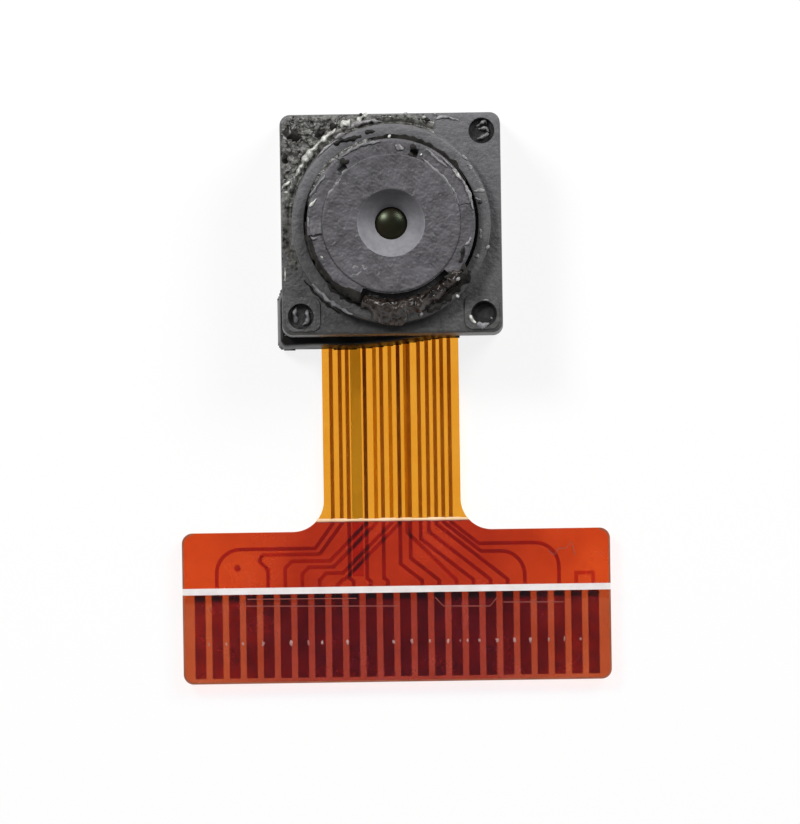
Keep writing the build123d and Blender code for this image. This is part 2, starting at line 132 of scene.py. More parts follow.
def axis_share(tree, direction, at_low, at_high, folded=False):
    """0 to 1 while a place in millimetres along a direction, unsigned if folded, runs between two values."""
    value = made(tree, "VectorMath", "Value", {0: position(tree), 1: [c / MM for c in direction]},
                 operation="DOT_PRODUCT")
    if folded:
        value = made(tree, "Math", "Value", {0: value}, operation="ABSOLUTE")
    return scaled(tree, value, at_low, at_high, 0, 1)


def tinted_below(tree, colour, place, factors):
    """Multiplies a colour by three factors where a point lies below a place along the tail."""
    below = axis_share(tree, (0, -1, 0), -place, -place + 0.05)
    return mixed(tree, below, colour, (*factors, 1), "MULTIPLY")


def finish_with(tree, shader, colour, coarse, rough, grain, depth_mm, fixed, detail=6):
    """Sets a shader's colour, its roughness from a coarse noise, a bump from a fine one, and constants."""
    tree.links.new(colour, shader.inputs["Base Color"])
    tree.links.new(scaled(tree, coarse, 0.3, 0.7, *rough), shader.inputs["Roughness"])
    fine = noise_field(tree, grain, detail)
    bump = made(tree, "Bump", "Normal", {"Height": fine, "Distance": depth_mm * MM})
    tree.links.new(bump, shader.inputs["Normal"])
    for socket, value in fixed.items():
        shader.inputs[socket.replace("_", " ")].default_value = value


def surface(name, dark, light, rough, grain, depth_mm, patches=None, **fixed):
    """A plain finish: colour and roughness vary with a coarse noise, and a fine one is bumped. patches sets
    how many coarse features there are in a millimetre."""
    material, tree, shader = new_material(name)
    coarse = noise_field(tree, patches or grain * 0.18)
    colour = ramp(tree, coarse, dark, light)
    finish_with(tree, shader, colour, coarse, rough, grain, depth_mm, fixed)
    return material


def conductor(name, dark, light, tail_factors=(1.6, 0.8, 0.6)):
    """Thin copper that some of the light passes, with another tint where the stiffener backs it."""
    material, tree, shader = new_material(name)
    coarse = noise_field(tree, 2.0)
    colour = tinted_below(tree, ramp(tree, coarse, dark, light), TAIL_START_Y, tail_factors)
    finish_with(tree, shader, colour, coarse, (0.45, 0.6), 12, 0.002,
                {"Transmission_Weight": 0.92, "IOR": 1.25})
    return material


def two_sided(name, upper, lower, rough, grain, depth_mm):
    """Plated copper: the bare metal of its upper side scatters light, its lower side has the plating."""
    material, tree, shader = new_material(name)
    coarse = noise_field(tree, grain * 0.18)
    height = made(tree, "SeparateXYZ", "Z", {"Vector": made(tree, "TexCoord", "Normal", {})})
    below = scaled(tree, height, 0.4, 0.6, 1, 0)
    colour = mixed(tree, below, ramp(tree, coarse, *upper), ramp(tree, coarse, *lower))
    tree.links.new(below, shader.inputs["Metallic"])
    finish_with(tree, shader, colour, coarse, rough, grain, depth_mm, {})
    return material


def moulded(name, near, far, slope, rough, grain, depth_mm):
    """Moulded plastic with mottled flow marks. Its two colours run from near to far ones along a slope; on
    the holder and the cone the slope is painted light and shade.
    """
    material, tree, shader = new_material(name)
    coarse = noise_field(tree, grain * 0.25, detail=5, roughness=0.7)
    colour = mixed(tree, axis_share(tree, *slope), ramp(tree, coarse, *near, 0.36, 0.64),
                   ramp(tree, coarse, *far, 0.36, 0.64))
    finish_with(tree, shader, colour, coarse, rough, grain, depth_mm, {})
    return material


def film(name, thick, thin, rough, ior, ends=None, foot=None, veil=0.0):
    """A clear coloured film: light that passes takes its colour. ends gives its colours near the two sides,
    foot a place along the tail and the factors of its colour below that. veil is a faint white gloss."""
    material, tree, shader = new_material(name)
    coarse = noise_field(tree, 0.8)
    colour = ramp(tree, coarse, thick, thin, 0.3, 0.7)
    if ends:
        side = axis_share(tree, (1, 0, 0), 2.6, 5.6, folded=True)
        colour = mixed(tree, side, colour, ramp(tree, coarse, *ends, 0.3, 0.7))
    if foot:
        colour = tinted_below(tree, colour, *foot)
    fixed = {"Transmission_Weight": 1.0, "IOR": ior, "Specular_IOR_Level": 0.3, "Coat_Weight": veil,
             "Coat_Roughness": 0.5}
    finish_with(tree, shader, colour, coarse, rough, 3, 0.004, fixed, detail=3)
    let_light_through(tree, shader, colour)
    return material


def let_light_through(tree, shader, colour):
    """Shadow rays pass each face with the square root of the film's colour and light what lies under."""
    root = made(tree, "Gamma", "Color", {"Color": colour, "Gamma": 0.5})
    clear = made(tree, "BsdfTransparent", "BSDF", {"Color": root})
    show(tree, ray_kind(tree, "Is Shadow Ray"), shader.outputs["BSDF"], clear)


TAIL_START_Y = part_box("tail_stiffener")[1].y / MM
INDEX_Y = (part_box("index_line")[0].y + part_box("index_line")[1].y) / 2 / MM

FINISHES = {
    # The holder is painted lighter towards the top and darker towards the bottom: painted light and shade.
    "holder_plastic": moulded(
        "holder plastic with painted light", ((0.046, 0.045, 0.044), (0.092, 0.090, 0.088)),
        ((0.116, 0.112, 0.121), (0.166, 0.161, 0.173)), ((-0.08, 1.0, 0), -3.4, 3.4), (0.36, 0.54), 9, 0.030),
    "barrel_plastic": moulded(
        "barrel plastic", ((0.060, 0.057, 0.063), (0.118, 0.112, 0.124)),
        ((0.070, 0.066, 0.074), (0.126, 0.120, 0.131)), ((0.0, -1.0, 0), -2.4, 2.4), (0.36, 0.54), 9, 0.016),
    "optical_plastic": surface(
        "optical plastic", (0.003, 0.006, 0.002), (0.014, 0.010, 0.006), (0.26, 0.30), 9, 0.001,
        Specular_Tint=(0.85, 1.0, 0.7, 1.0), Specular_IOR_Level=0.4),
    "blackened_foil": surface(
        "blackened foil", (0.012, 0.012, 0.012), (0.02, 0.02, 0.02), (0.5, 0.7), 30, 0.002),
    "filter_glass": surface("filter glass", (0.02, 0.05, 0.06), (0.03, 0.07, 0.08), (0.03, 0.05), 1, 0.001),
    "cover_glass": surface("cover glass", (0.10, 0.12, 0.12), (0.12, 0.14, 0.14), (0.03, 0.05), 1, 0.001),
    "silicon": surface("silicon", (0.08, 0.08, 0.09), (0.10, 0.10, 0.12), (0.2, 0.3), 4, 0.001, Metallic=0.5),
    "dam_resin": surface("dam resin", (0.02, 0.02, 0.02), (0.03, 0.03, 0.03), (0.5, 0.6), 8, 0.002),
    "solder": surface("solder", (0.55, 0.55, 0.56), (0.65, 0.65, 0.66), (0.25, 0.4), 6, 0.003, Metallic=1.0),
    "copper": conductor("copper", (0.31, 0.15, 0.015), (0.36, 0.18, 0.02)),
    "gold_contacts": two_sided(
        "gold contacts", ((0.30, 0.22, 0.05), (0.50, 0.40, 0.10)), ((0.62, 0.40, 0.13), (0.72, 0.48, 0.18)),
        (0.28, 0.4), 10, 0.002),
    "amber_film": film("amber film", (0.912, 0.674, 0.27), (0.926, 0.703, 0.316), (0.08, 0.16), 1.25),
    "stiffener_film": film(
        "stiffener film", (0.54, 0.101, 0.24), (0.643, 0.137, 0.30), (0.18, 0.28), 1.25,
        ends=((0.805, 0.22, 0.26), (0.92, 0.28, 0.325)), foot=(INDEX_Y, (0.665, 0.926, 1.57)), veil=0.2),
    "bond_sheet": film("bond sheet", (0.94, 0.66, 0.44), (0.97, 0.72, 0.50), (0.2, 0.3), 1.1),
    "white_ink": surface("white ink", (0.86, 0.80, 0.79), (0.95, 0.90, 0.89), (0.5, 0.6), 14, 0.003),
    "stiffener_steel": surface(
        "stiffener steel", (0.46, 0.45, 0.43), (0.54, 0.53, 0.51), (0.3, 0.42), 10, 0.002, Metallic=1.0),
    "ceramic_body": surface("ceramic body", (0.28, 0.20, 0.13), (0.34, 0.25, 0.17), (0.5, 0.6), 12, 0.002),
    "black_resin": surface(
        "black resin", (0.010, 0.009, 0.009), (0.022, 0.019, 0.017), (0.16, 0.34), 7, 0.02),
}

# Variants of a slot's finish: the smoother cone of the barrel, painted pale where lit and dark where shaded,
# recesses darkened with dirt and painted shade, conductors that differ in how much light their films throw
# back, kinds of adhesive, rubs, crumbs and painted highlights, and the tail's scratches and edge
# The cone is painted pale on its lit lower half and dark on its shaded upper half.
CONE_PAINTED_LIGHT = moulded(
    "cone plastic with painted light", ((0.235, 0.23, 0.25), (0.315, 0.31, 0.33)),
    ((0.055, 0.052, 0.058), (0.085, 0.080, 0.090)), ((0, 1, 0), 0.0, 0.85), (0.34, 0.46), 12, 0.006)
# Dark finish for the floors of the corner marks, the gate ledge and the notches: dirt and painted shade.
RECESS_DIRT_AND_SHADE = surface("recess plastic with dirt and painted shade", (0.012, 0.012, 0.012), (0.035, 0.034, 0.035), (0.25, 0.45), 24, 0.010)
BRIGHT_COPPER = conductor("bright copper", (0.52, 0.47, 0.17), (0.58, 0.53, 0.21))
BACK_COPPER = conductor("back copper", (0.48, 0.30, 0.02), (0.54, 0.34, 0.03), (1.4, 0.9, 0.8))
CRACKLED_RESIN = surface(
    "crackled resin", (0.008, 0.008, 0.007), (0.215, 0.212, 0.197), (0.14, 0.28), 10, 0.018, patches=7)
BROWN_RESIN = surface(
    "brown resin", (0.003, 0.002, 0.002), (0.058, 0.043, 0.036), (0.18, 0.34), 7, 0.018, patches=5)
LIP_RESIN = surface(
    "lip resin", (0.009, 0.008, 0.008), (0.018, 0.016, 0.015), (0.30, 0.42), 7, 0.01, Specular_IOR_Level=0.25)
GAP_RESIN = surface(
    "gap resin", (0.004, 0.004, 0.003), (0.022, 0.020, 0.016), (0.45, 0.6), 14, 0.010, Specular_IOR_Level=0.2)
BEAD_FINISH = surface("squeezed adhesive", (0.86, 0.60, 0.36), (0.96, 0.72, 0.46), (0.25, 0.4), 9, 0.006)
# The white finish is a painted highlight; the pale and dull ones serve rubs, marks and painted highlights.
WEAR_AND_PAINTED_LIGHT_FINISHES = {
    "white": surface("painted highlight", (0.32, 0.32, 0.30), (0.80, 0.80, 0.75), (0.2, 0.35), 12, 0.010, patches=7),
    "pale": surface("pale rub and painted highlight", (0.14, 0.135, 0.14), (0.36, 0.35, 0.36), (0.25, 0.4), 12, 0.010, patches=7),
    "dull": surface(
        "dull rub and painted highlight", (0.14, 0.135, 0.145), (0.27, 0.265, 0.275), (0.35, 0.5), 14, 0.006, patches=6),
    # The dark finish serves crumbs of adhesive and a line of painted shade.
    "dark": surface(
        "dark crumb and painted shade", (0.004, 0.004, 0.0035), (0.022, 0.020, 0.018), (0.4, 0.6), 14, 0.012,
        Specular_IOR_Level=0.25),
}
PALE_SCUFF = surface("pale scuff", (0.28, 0.13, 0.12), (0.52, 0.31, 0.29), (0.4, 0.6), 20, 0.004)
FAINT_LINE = surface("faint line", (0.26, 0.050, 0.035), (0.32, 0.065, 0.045), (0.5, 0.7), 12, 0.002)
CUT_EDGE = surface("cut edge", (0.27, 0.075, 0.030), (0.36, 0.10, 0.042), (0.5, 0.7), 14, 0.002)
NODE_FINISHES = {"ground_strip": BRIGHT_COPPER, "back_traces": BACK_COPPER}

for subpart in frame["record"]["subparts"]:
    mesh = nodes[subpart["node"]].data
    mesh.materials.clear()
    mesh.materials.append(NODE_FINISHES.get(subpart["node"], FINISHES[subpart["material_slot"]]))

# Laminated sheets touch in the solids. Each is shrunk by a hair here, so that light meets face after face.
SHEET_SHRINK = 0.0015
for node_name in ("back_coverlay", "flex_base_film", "front_coverlay", "tail_adhesive", "tail_stiffener"):
    shrink = nodes[node_name].modifiers.new("shrink", "DISPLACE")
    shrink.strength = -SHEET_SHRINK * MM
    shrink.mid_level = 0


# Sizes in millimetres, read from the frame where a node gives them

def span(node_name):
    """Lowest and highest corner of a node, in millimetres."""
    low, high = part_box(node_name)
    return low / MM, high / MM


holder_low, holder_high = span("lens_holder")
barrel_low, barrel_high = span("lens_barrel")
bond_low, bond_high = span("holder_bond")
filter_low, filter_high = span("infrared_filter")
HEAD_WIDTH = bond_high.x - bond_low.x
HEAD_CORNER = 0.30
HOLDER_DRAFT = 0.05
HOLDER_WALL = 0.575
HOLDER_FOOT = holder_low.z
FACE_WIDTH = HEAD_WIDTH - 2 * HOLDER_DRAFT
EDGE_ROUND = 0.09
COLLAR_TOP = holder_high.z
FACE = COLLAR_TOP - 0.50
BARREL_TOP = barrel_high.z
BARREL_RADIUS = (barrel_high.x - barrel_low.x) / 2
RIM_STEP_RADIUS = BARREL_RADIUS - 0.42
RIM_TOP = BARREL_TOP - 0.06
GATE_LEDGE_RADIUS = BARREL_RADIUS - 0.39
GATE_LEDGE_DEPTH = 0.30
COLLAR_BORE = BARREL_RADIUS + 0.09
COLLAR_RADIUS = COLLAR_BORE + 0.35
COLLAR_RELIEF = COLLAR_TOP - 0.55
THREAD_RADIUS = BARREL_RADIUS + 0.02
THREAD_FLOOR = barrel_low.z - 0.10
WINDOW_HALF_WIDTH = 1.5
PUPIL_RADIUS = 0.47
CONE_MOUTH_RADIUS = 0.98
LENS_TOP = BARREL_TOP - 0.70
MARK_PLACE = FACE_WIDTH / 2 - 0.535
MARK_RADIUS = 0.38
MARK_DEPTH = 0.24
MARK_FLOOR = FACE - MARK_DEPTH
MARK_FLOOR_RADIUS = 0.34
PIT_DEPTH = 0.34
PIT_FLOOR_RADIUS = 0.28
PAD_WIDTH = 1.02
PAD_HEIGHT = 0.05
PAD_CORNER = 0.25
PAD_DRAFT = 0.96


# Mesh helpers

def soft_noise(x, y, z=0.0):
    return noise.noise(Vector((x, y, z)))


def ridges(x, y, z):
    """Thin creases: 1 on a crease, falling towards 0 between them."""
    return 1 - min(1, 2.2 * abs(soft_noise(x, y, z)))


def smooth_step(value, low, high):
    t = min(1, max(0, (value - low) / (high - low)))
    return t * t * (3 - 2 * t)


def add_piece(name, points, faces, slot, *replaced, sharp=38, finish=None):
    """A mesh from points in millimetres, finished as its slot unless a finish is given, and carried by the
    body.
    """
    mesh = bpy.data.meshes.new(name)
    work = bmesh.new()
    corners = [work.verts.new([MM * c for c in point]) for point in points]
    for face in faces:
        work.faces.new([corners[i] for i in face])
    bmesh.ops.remove_doubles(work, verts=work.verts, dist=1e-5 * MM)
    bmesh.ops.recalc_face_normals(work, faces=work.faces)
    work.to_mesh(mesh)
    work.free()
    mesh.shade_smooth()
    mesh.set_sharp_from_angle(angle=math.radians(sharp))
    mesh.materials.append(finish or FINISHES[slot])
    piece = bpy.data.objects.new(name, mesh)
    bpy.context.scene.collection.objects.link(piece)
    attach(piece, "root")
    if replaced:
        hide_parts(*replaced)
    return piece


class Skin:
    """Points and faces gathered loop by loop."""

    def __init__(self):
        self.points = []
        self.faces = []

    def loop(self, outline, z):
        return self.ring([(x, y, z) for x, y in outline])

    def ring(self, places):
        first = len(self.points)
        self.points.extend(places)
        return list(range(first, len(self.points)))

    def bridge(self, a, b):
        count = len(a)
        for i in range(count):
            j = (i + 1) % count
            self.faces.append((a[i], a[j], b[j], b[i]))

    def stack(self, loops):
        for a, b in zip(loops, loops[1:]):
            self.bridge(a, b)

    def cap(self, loop):
        self.faces.append(tuple(loop))

    def tube(self, loops):
        """Loops joined in turn, with a face across the first and the last."""
        self.stack(loops)
        self.cap(loops[0])
        self.cap(loops[-1])

    def sheet(self, outer, holes):
        """A flat face between an outer loop and the loops of its holes."""
        loops = [outer] + holes
        index = [i for loop in loops for i in loop]
        flat = [Vector(self.points[i][:2]) for i in index]
        edges = []
        start = 0
        for loop in loops:
            count = len(loop)
            edges += [(start + i, start + (i + 1) % count) for i in range(count)]
            start += count
        _, _, triangles, origin, _, _ = delaunay_2d_cdt(flat, edges, [], 1, 1e-7)
        walls = [[self.points[i][:2] for i in hole] for hole in holes]
        for triangle in triangles:
            corners = [index[origin[i][0]] for i in triangle]
            x = sum(self.points[i][0] for i in corners) / 3
            y = sum(self.points[i][1] for i in corners) / 3
            if not any(inside(x, y, wall) for wall in walls):
                self.faces.append(tuple(corners))


def inside(x, y, outline):
    odd = False
    for (ax, ay), (bx, by) in zip(outline, outline[1:] + outline[:1]):
        if (ay > y) != (by > y) and x < ax + (y - ay) / (by - ay) * (bx - ax):
            odd = not odd
    return odd


def circle(radius, count, x=0.0, y=0.0):
    steps = [2 * math.pi * i / count for i in range(count)]
    return [(x + radius * math.cos(t), y + radius * math.sin(t)) for t in steps]


def ray_angles():
    """Directions for loops about the axis, closer together in the corners of the square body."""
    even = [1.5 * i for i in range(240)]
    corner = [45 + 90 * q + 0.25 * i for q in range(4) for i in range(-20, 20)]
    return [math.radians(t) for t in sorted(set(even + corner))]


ANGLES = ray_angles()


def heading(places, i):
    """Unit vector along a line of places at its i-th one."""
    before, after = places[max(0, i - 1)], places[min(len(places) - 1, i + 1)]
    return Vector((after[0] - before[0], after[1] - before[1])).normalized()


def round_loop(radius):
    return [(radius * math.cos(t), radius * math.sin(t)) for t in ANGLES]


def square_loop(half, corner):
    """A rounded square met by the same rays as round_loop."""
    outline = []
    for t in ANGLES:
        c, s = math.cos(t), math.sin(t)
        reach = half / max(abs(c), abs(s))
        centre = half - corner
        if min(abs(c), abs(s)) * reach > centre:
            along = centre * (abs(c) + abs(s))
            reach = along + math.sqrt(along * along - 2 * centre * centre + corner * corner)
        outline.append((reach * c, reach * s))
    return outline


def rounded_edge(top, low_offset, radius, steps):
    """Offsets and levels of a quarter round from a wall up onto a flat top."""
    return [(low_offset - radius + radius * math.cos(math.pi / 2 * i / steps),
             top - radius + radius * math.sin(math.pi / 2 * i / steps)) for i in range(steps + 1)]


# Lens holder

def corner_cup(skin, rim, x, y, depth, floor_radius):
    """A mould mark sunk from the loop rim, with a chamfered mouth."""
    top = skin.points[rim[0]][2]
    count = len(rim)
    mouth = skin.loop(circle(MARK_RADIUS - 0.015, count, x, y), top - 0.02)
    floor = skin.loop(circle(floor_radius, count, x, y), top - depth)
    skin.stack([rim, mouth, floor])
    skin.cap(floor)


def add_pad(skin, x_side, y_side):
    """A raised corner pad with a mark in it. Gives back its foot and the mark's rim."""
    centre = FACE_WIDTH / 2 - EDGE_ROUND - PAD_WIDTH / 2
    x, y = x_side * centre, y_side * centre
    outline = square_loop(PAD_WIDTH / 2, PAD_CORNER)
    foot = skin.loop([(x + px, y + py) for px, py in outline], FACE)
    top = skin.loop([(x + PAD_DRAFT * px, y + PAD_DRAFT * py) for px, py in outline], FACE + PAD_HEIGHT)
    skin.bridge(foot, top)
    rim = skin.loop(circle(MARK_RADIUS, 48, x_side * MARK_PLACE, y_side * MARK_PLACE), FACE + PAD_HEIGHT)
    skin.sheet(top, [rim])
    return foot, rim


def make_holder():
    skin = Skin()
    outside = [skin.loop(square_loop(HEAD_WIDTH / 2, HEAD_CORNER), HOLDER_FOOT)]
    for offset, level in rounded_edge(FACE, FACE_WIDTH / 2, EDGE_ROUND, 4):
        outside.append(skin.loop(square_loop(offset, HEAD_CORNER - (FACE_WIDTH / 2 - offset)), level))
    skin.stack(outside)

    holes = []
    rims = []
    for x_side, y_side in ((-1, 1), (1, 1), (-1, -1), (1, -1)):
        if y_side > 0:
            rim = skin.loop(circle(MARK_RADIUS, 48, x_side * MARK_PLACE, y_side * MARK_PLACE), FACE)
            holes.append(rim)
        else:
            foot, rim = add_pad(skin, x_side, y_side)
            holes.append(foot)
        rims.append((rim, x_side, y_side))
    for rim, x_side, y_side in rims:
        is_pit = x_side > 0 and y_side < 0
        depth, floor_radius = (PIT_DEPTH, PIT_FLOOR_RADIUS) if is_pit else (MARK_DEPTH, MARK_FLOOR_RADIUS)
        corner_cup(skin, rim, x_side * MARK_PLACE, y_side * MARK_PLACE, depth, floor_radius)

    collar_foot = skin.loop(round_loop(COLLAR_RADIUS + 0.03), FACE)
    skin.sheet(outside[-1], holes + [collar_foot])
    collar = [collar_foot, skin.loop(round_loop(COLLAR_RADIUS), FACE + 0.03)]
    for offset, level in rounded_edge(COLLAR_TOP, COLLAR_RADIUS, EDGE_ROUND, 4):
        collar.append(skin.loop(round_loop(offset), level))
    for offset, level in reversed(rounded_edge(COLLAR_TOP, -COLLAR_BORE, 0.03, 2)):
        collar.append(skin.loop(round_loop(-offset), level))
    bore, thread = round_loop(COLLAR_BORE), round_loop(THREAD_RADIUS)
    window, seat, cavity = (square_loop(half, 0.02) for half in
                            (WINDOW_HALF_WIDTH, filter_high.x + 0.05, HEAD_WIDTH / 2 - HOLDER_WALL))
    for outline, level in ((bore, COLLAR_RELIEF), (thread, COLLAR_RELIEF), (thread, THREAD_FLOOR),
                           (window, THREAD_FLOOR), (window, filter_high.z), (seat, filter_high.z),
                           (seat, filter_low.z), (cavity, filter_low.z), (cavity, HOLDER_FOOT)):
        collar.append(skin.loop(outline, level))
    skin.stack(collar + [outside[0]])
    shell = add_piece("holder_shell", skin.points, skin.faces, "holder_plastic", "lens_holder")
    # The walls and floors of the corner marks are darkened: dirt and painted shade.
    shell.data.materials.append(RECESS_DIRT_AND_SHADE)
    for polygon in shell.data.polygons:
        x, y, z = polygon.center / MM
        in_mark = math.hypot(abs(x) - MARK_PLACE, abs(y) - MARK_PLACE) < MARK_RADIUS - 0.01
        if in_mark and FACE - 0.4 < z < FACE - 0.03:
            polygon.material_index = 1


# Lens barrel

NOTCH_ANGLES = [math.radians(11 + 60 * i) for i in range(6)]
OPEN_NOTCH_DEPTH = 0.24
HALF_FILLED_NOTCH_DEPTH = 0.10
FILLED_NOTCH_DEPTH = 0.03
LEDGE_START = math.radians(246)
LEDGE_SWEEP = math.radians(72)
WORN_LIFT = 0.052


def notch_depth(radius, angle):
    """The notch at the upper right is open, the one at the upper left half filled, the others nearly full."""
    depth = FILLED_NOTCH_DEPTH
    if math.sin(angle) > 0.6:
        depth = OPEN_NOTCH_DEPTH if math.cos(angle) > 0 else HALF_FILLED_NOTCH_DEPTH
    return depth - (depth - FILLED_NOTCH_DEPTH) * smooth_step(radius, 2.08, 2.26)


def barrel_drop(radius, angle):
    """How far notches and gate ledge lower the rim. At the lower left it is worn flush with the face."""
    if radius > GATE_LEDGE_RADIUS and (angle - LEDGE_START) % (2 * math.pi) < LEDGE_SWEEP:
        return GATE_LEDGE_DEPTH
    if radius > RIM_STEP_RADIUS - 0.001:
        for notch in NOTCH_ANGLES:
            off = (angle - notch + math.pi) % (2 * math.pi) - math.pi
            half_width = 0.10 + 0.05 * soft_noise(4 * radius, 3 * notch)
            if abs(off) < math.pi / 2 and abs(radius * math.sin(off)) < half_width:
                return notch_depth(radius, angle)
        worn = smooth_step(angle, math.radians(176), math.radians(188))
        worn *= 1 - smooth_step(angle, math.radians(240), math.radians(246))
        return -WORN_LIFT * worn * (1 - smooth_step(radius, BARREL_RADIUS - 0.12, BARREL_RADIUS - 0.02))
    return 0.0


def barrel_outside():
    """Radii and levels up the cone, across the face and the rim, and a short way down the outer wall."""
    cone_width = CONE_MOUTH_RADIUS - PUPIL_RADIUS
    face_start, face_end = CONE_MOUTH_RADIUS, RIM_STEP_RADIUS - 0.05
    rim_start, rim_end = RIM_STEP_RADIUS + 0.002, BARREL_RADIUS - 0.07
    profile = [(PUPIL_RADIUS, LENS_TOP), (PUPIL_RADIUS, LENS_TOP + 0.09),
               (PUPIL_RADIUS + 0.012, LENS_TOP + 0.105)]
    profile += [(PUPIL_RADIUS + cone_width * i / 12, LENS_TOP + 0.10 + 0.60 * i / 12) for i in range(1, 12)]
    profile += [(face_start - 0.030, BARREL_TOP - 0.034), (face_start - 0.006, BARREL_TOP - 0.014),
                (face_start + 0.030, BARREL_TOP)]
    profile += [(face_start + (face_end - face_start) * i / 40, BARREL_TOP) for i in range(1, 40)]
    profile += rounded_edge(BARREL_TOP, RIM_STEP_RADIUS, 0.05, 4)[::-1]
    profile += [(rim_start + (rim_end - rim_start) * i / 14, RIM_TOP) for i in range(15)]
    profile += rounded_edge(RIM_TOP, BARREL_RADIUS, 0.07, 4)[::-1]
    return profile + [(BARREL_RADIUS, BARREL_TOP - 0.45)]


def barrel_inside():
    """Radii and levels from the barrel's foot up through the bores of its three lenses."""
    levels = [barrel_low.z, span("rear_lens")[1].z, span("middle_lens")[1].z, LENS_TOP]
    profile = [(BARREL_RADIUS, barrel_low.z)]
    for lens, low, high in zip(("rear_lens", "middle_lens", "front_lens"), levels, levels[1:]):
        bore = span(lens)[1].x + 0.01
        profile += [(bore, low), (bore, high)]
    return profile


def make_barrel():
    around = 600
    upper = barrel_outside()
    skin = Skin()
    loops = []
    for number, (radius, level) in enumerate(upper + barrel_inside()):
        places = []
        for i in range(around):
            angle = 2 * math.pi * i / around
            x, y, z = radius * math.cos(angle), radius * math.sin(angle), level
            if number < len(upper):
                z -= barrel_drop(radius, angle) if level > BARREL_TOP - 0.30 else 0
                if CONE_MOUTH_RADIUS < radius < BARREL_RADIUS - 0.01:
                    grain = 0.45 * soft_noise(6 * x, 6 * y) + 0.55 * soft_noise(14 * x, 14 * y, 3)
                    z = min(BARREL_TOP, z - 0.012 + 0.020 * grain)
            places.append((x, y, z))
        loops.append(skin.ring(places))
    skin.stack(loops + loops[:1])
    shell = add_piece("barrel_shell", skin.points, skin.faces, "barrel_plastic", "lens_barrel", sharp=30)
    # The cone's finish is painted pale on its lit lower half and dark on its shaded upper half.
    shell.data.materials.append(CONE_PAINTED_LIGHT)
    # The gate ledge and the notches are darkened: dirt and painted shade.
    shell.data.materials.append(RECESS_DIRT_AND_SHADE)
    for polygon in shell.data.polygons:
        x, y, z = polygon.center / MM
        radius = math.hypot(x, y)
        if radius < CONE_MOUTH_RADIUS + 0.01 and z > LENS_TOP + 0.08:
            polygon.material_index = 1
        elif radius > RIM_STEP_RADIUS and BARREL_TOP - 0.4 < z < BARREL_TOP - 0.13:
            polygon.material_index = 2


def make_front_lens():
    """The front lens with its dome as a smooth surface of revolution."""
    low, high = span("front_lens")
    rise = high.z - LENS_TOP
    sphere = (PUPIL_RADIUS ** 2 + rise ** 2) / (2 * rise)
    steps = 16
    radii = [PUPIL_RADIUS * max(i, 0.1) / steps for i in range(steps + 1)]
    profile = [(r, high.z - sphere + math.sqrt(sphere ** 2 - r ** 2)) for r in radii]
    profile += [(high.x, LENS_TOP), (high.x, low.z), (PUPIL_RADIUS, low.z)]
    skin = Skin()
    skin.tube([skin.loop(circle(r, 96), z) for r, z in profile])
    add_piece("front_lens_dome", skin.points, skin.faces, "optical_plastic", "front_lens")


# Adhesive

def relief(name, x_range, y_range, cell, height, sink, finish, *replaced, slot="black_resin"):
    """A closed lump whose top follows height(x, y) up to the barrel's top, kept where it rises above sink."""
    columns = round((x_range[1] - x_range[0]) / cell)
    rows = round((y_range[1] - y_range[0]) / cell)
    tops = {}
    for i in range(columns + 1):
        for j in range(rows + 1):
            x, y = x_range[0] + i * cell, y_range[0] + j * cell
            tops[i, j] = (x, y, min(height(x, y), BARREL_TOP))
    points = []
    number = {}

    def corner(i, j, low):
        key = (i, j, low)
        if key not in number:
            x, y, z = tops[i, j]
            number[key] = len(points)
            points.append((x, y, sink if low else max(z, sink + 0.001)))
        return number[key]

    kept = set()
    for i in range(columns):
        for j in range(rows):
            if max(tops[a, b][2] for a in (i, i + 1) for b in (j, j + 1)) > sink + 0.002:
                kept.add((i, j))
    faces = []
    for i, j in sorted(kept):
        square = [(i, j), (i + 1, j), (i + 1, j + 1), (i, j + 1)]
        faces.append([corner(a, b, False) for a, b in square])
        faces.append([corner(a, b, True) for a, b in reversed(square)])
        for side, (di, dj) in enumerate(((0, -1), (1, 0), (0, 1), (-1, 0))):
            if (i + di, j + dj) not in kept:
                a, b = square[side], square[(side + 1) % 4]
                faces.append([corner(*b, False), corner(*a, False), corner(*a, True), corner(*b, True)])
    add_piece(name, points, faces, slot, *replaced, sharp=75, finish=finish)


def room_in_square(x, y, half, corner):
    """How far a point lies inside a rounded square about the axis; negative outside."""
    across, along = abs(x) - (half - corner), abs(y) - (half - corner)
    if across > 0 and along > 0:
        return corner - math.hypot(across, along)
    return corner - max(across, along)


def polar(x, y):
    return math.hypot(x, y), math.degrees(math.atan2(y, x)) % 360


# Where there is no adhesive in the gap or on the rim, its surface lies at this level, under its floor
BURIED = COLLAR_TOP - 0.4


def collar_glue_height(x, y):
    """A bead round the foot of the collar, with a groove behind it, and a crackled smear in the corner."""
    radius, angle = polar(x, y)
    off = radius - COLLAR_RADIUS
    edge = smooth_step(room_in_square(x, y, FACE_WIDTH / 2 - 0.03, HEAD_CORNER), 0, 0.12)
    if off < -0.03 or edge == 0:
        return FACE - 0.1
    ends = smooth_step(angle, 62, 74) * (1 - 0.8 * smooth_step(angle, 166, 182))
    ends *= 1 - smooth_step(angle, 200, 210)
    wall = 0.30 * max(0, 1 - max(0, off) / 0.11) ** 1.5
    crest = 0.15 * max(0, 1 - ((off - 0.20 - 0.05 * soft_noise(1.6 * x, 1.6 * y, 7)) / 0.15) ** 2)
    bead = max(wall, crest) * ends
    lumps = 0.09 * ridges(3.8 * x, 3.8 * y, 2) ** 2 + 0.05 * ridges(8 * x, 8 * y, 5) ** 2
    corner = smooth_step(angle, 92, 102) * (1 - smooth_step(angle, 168, 178))
    smear = (0.012 + lumps) * corner * edge
    return FACE - 0.012 + max(bead, smear) + 0.02 * soft_noise(9 * x, 9 * y, 1) * max(ends, corner)


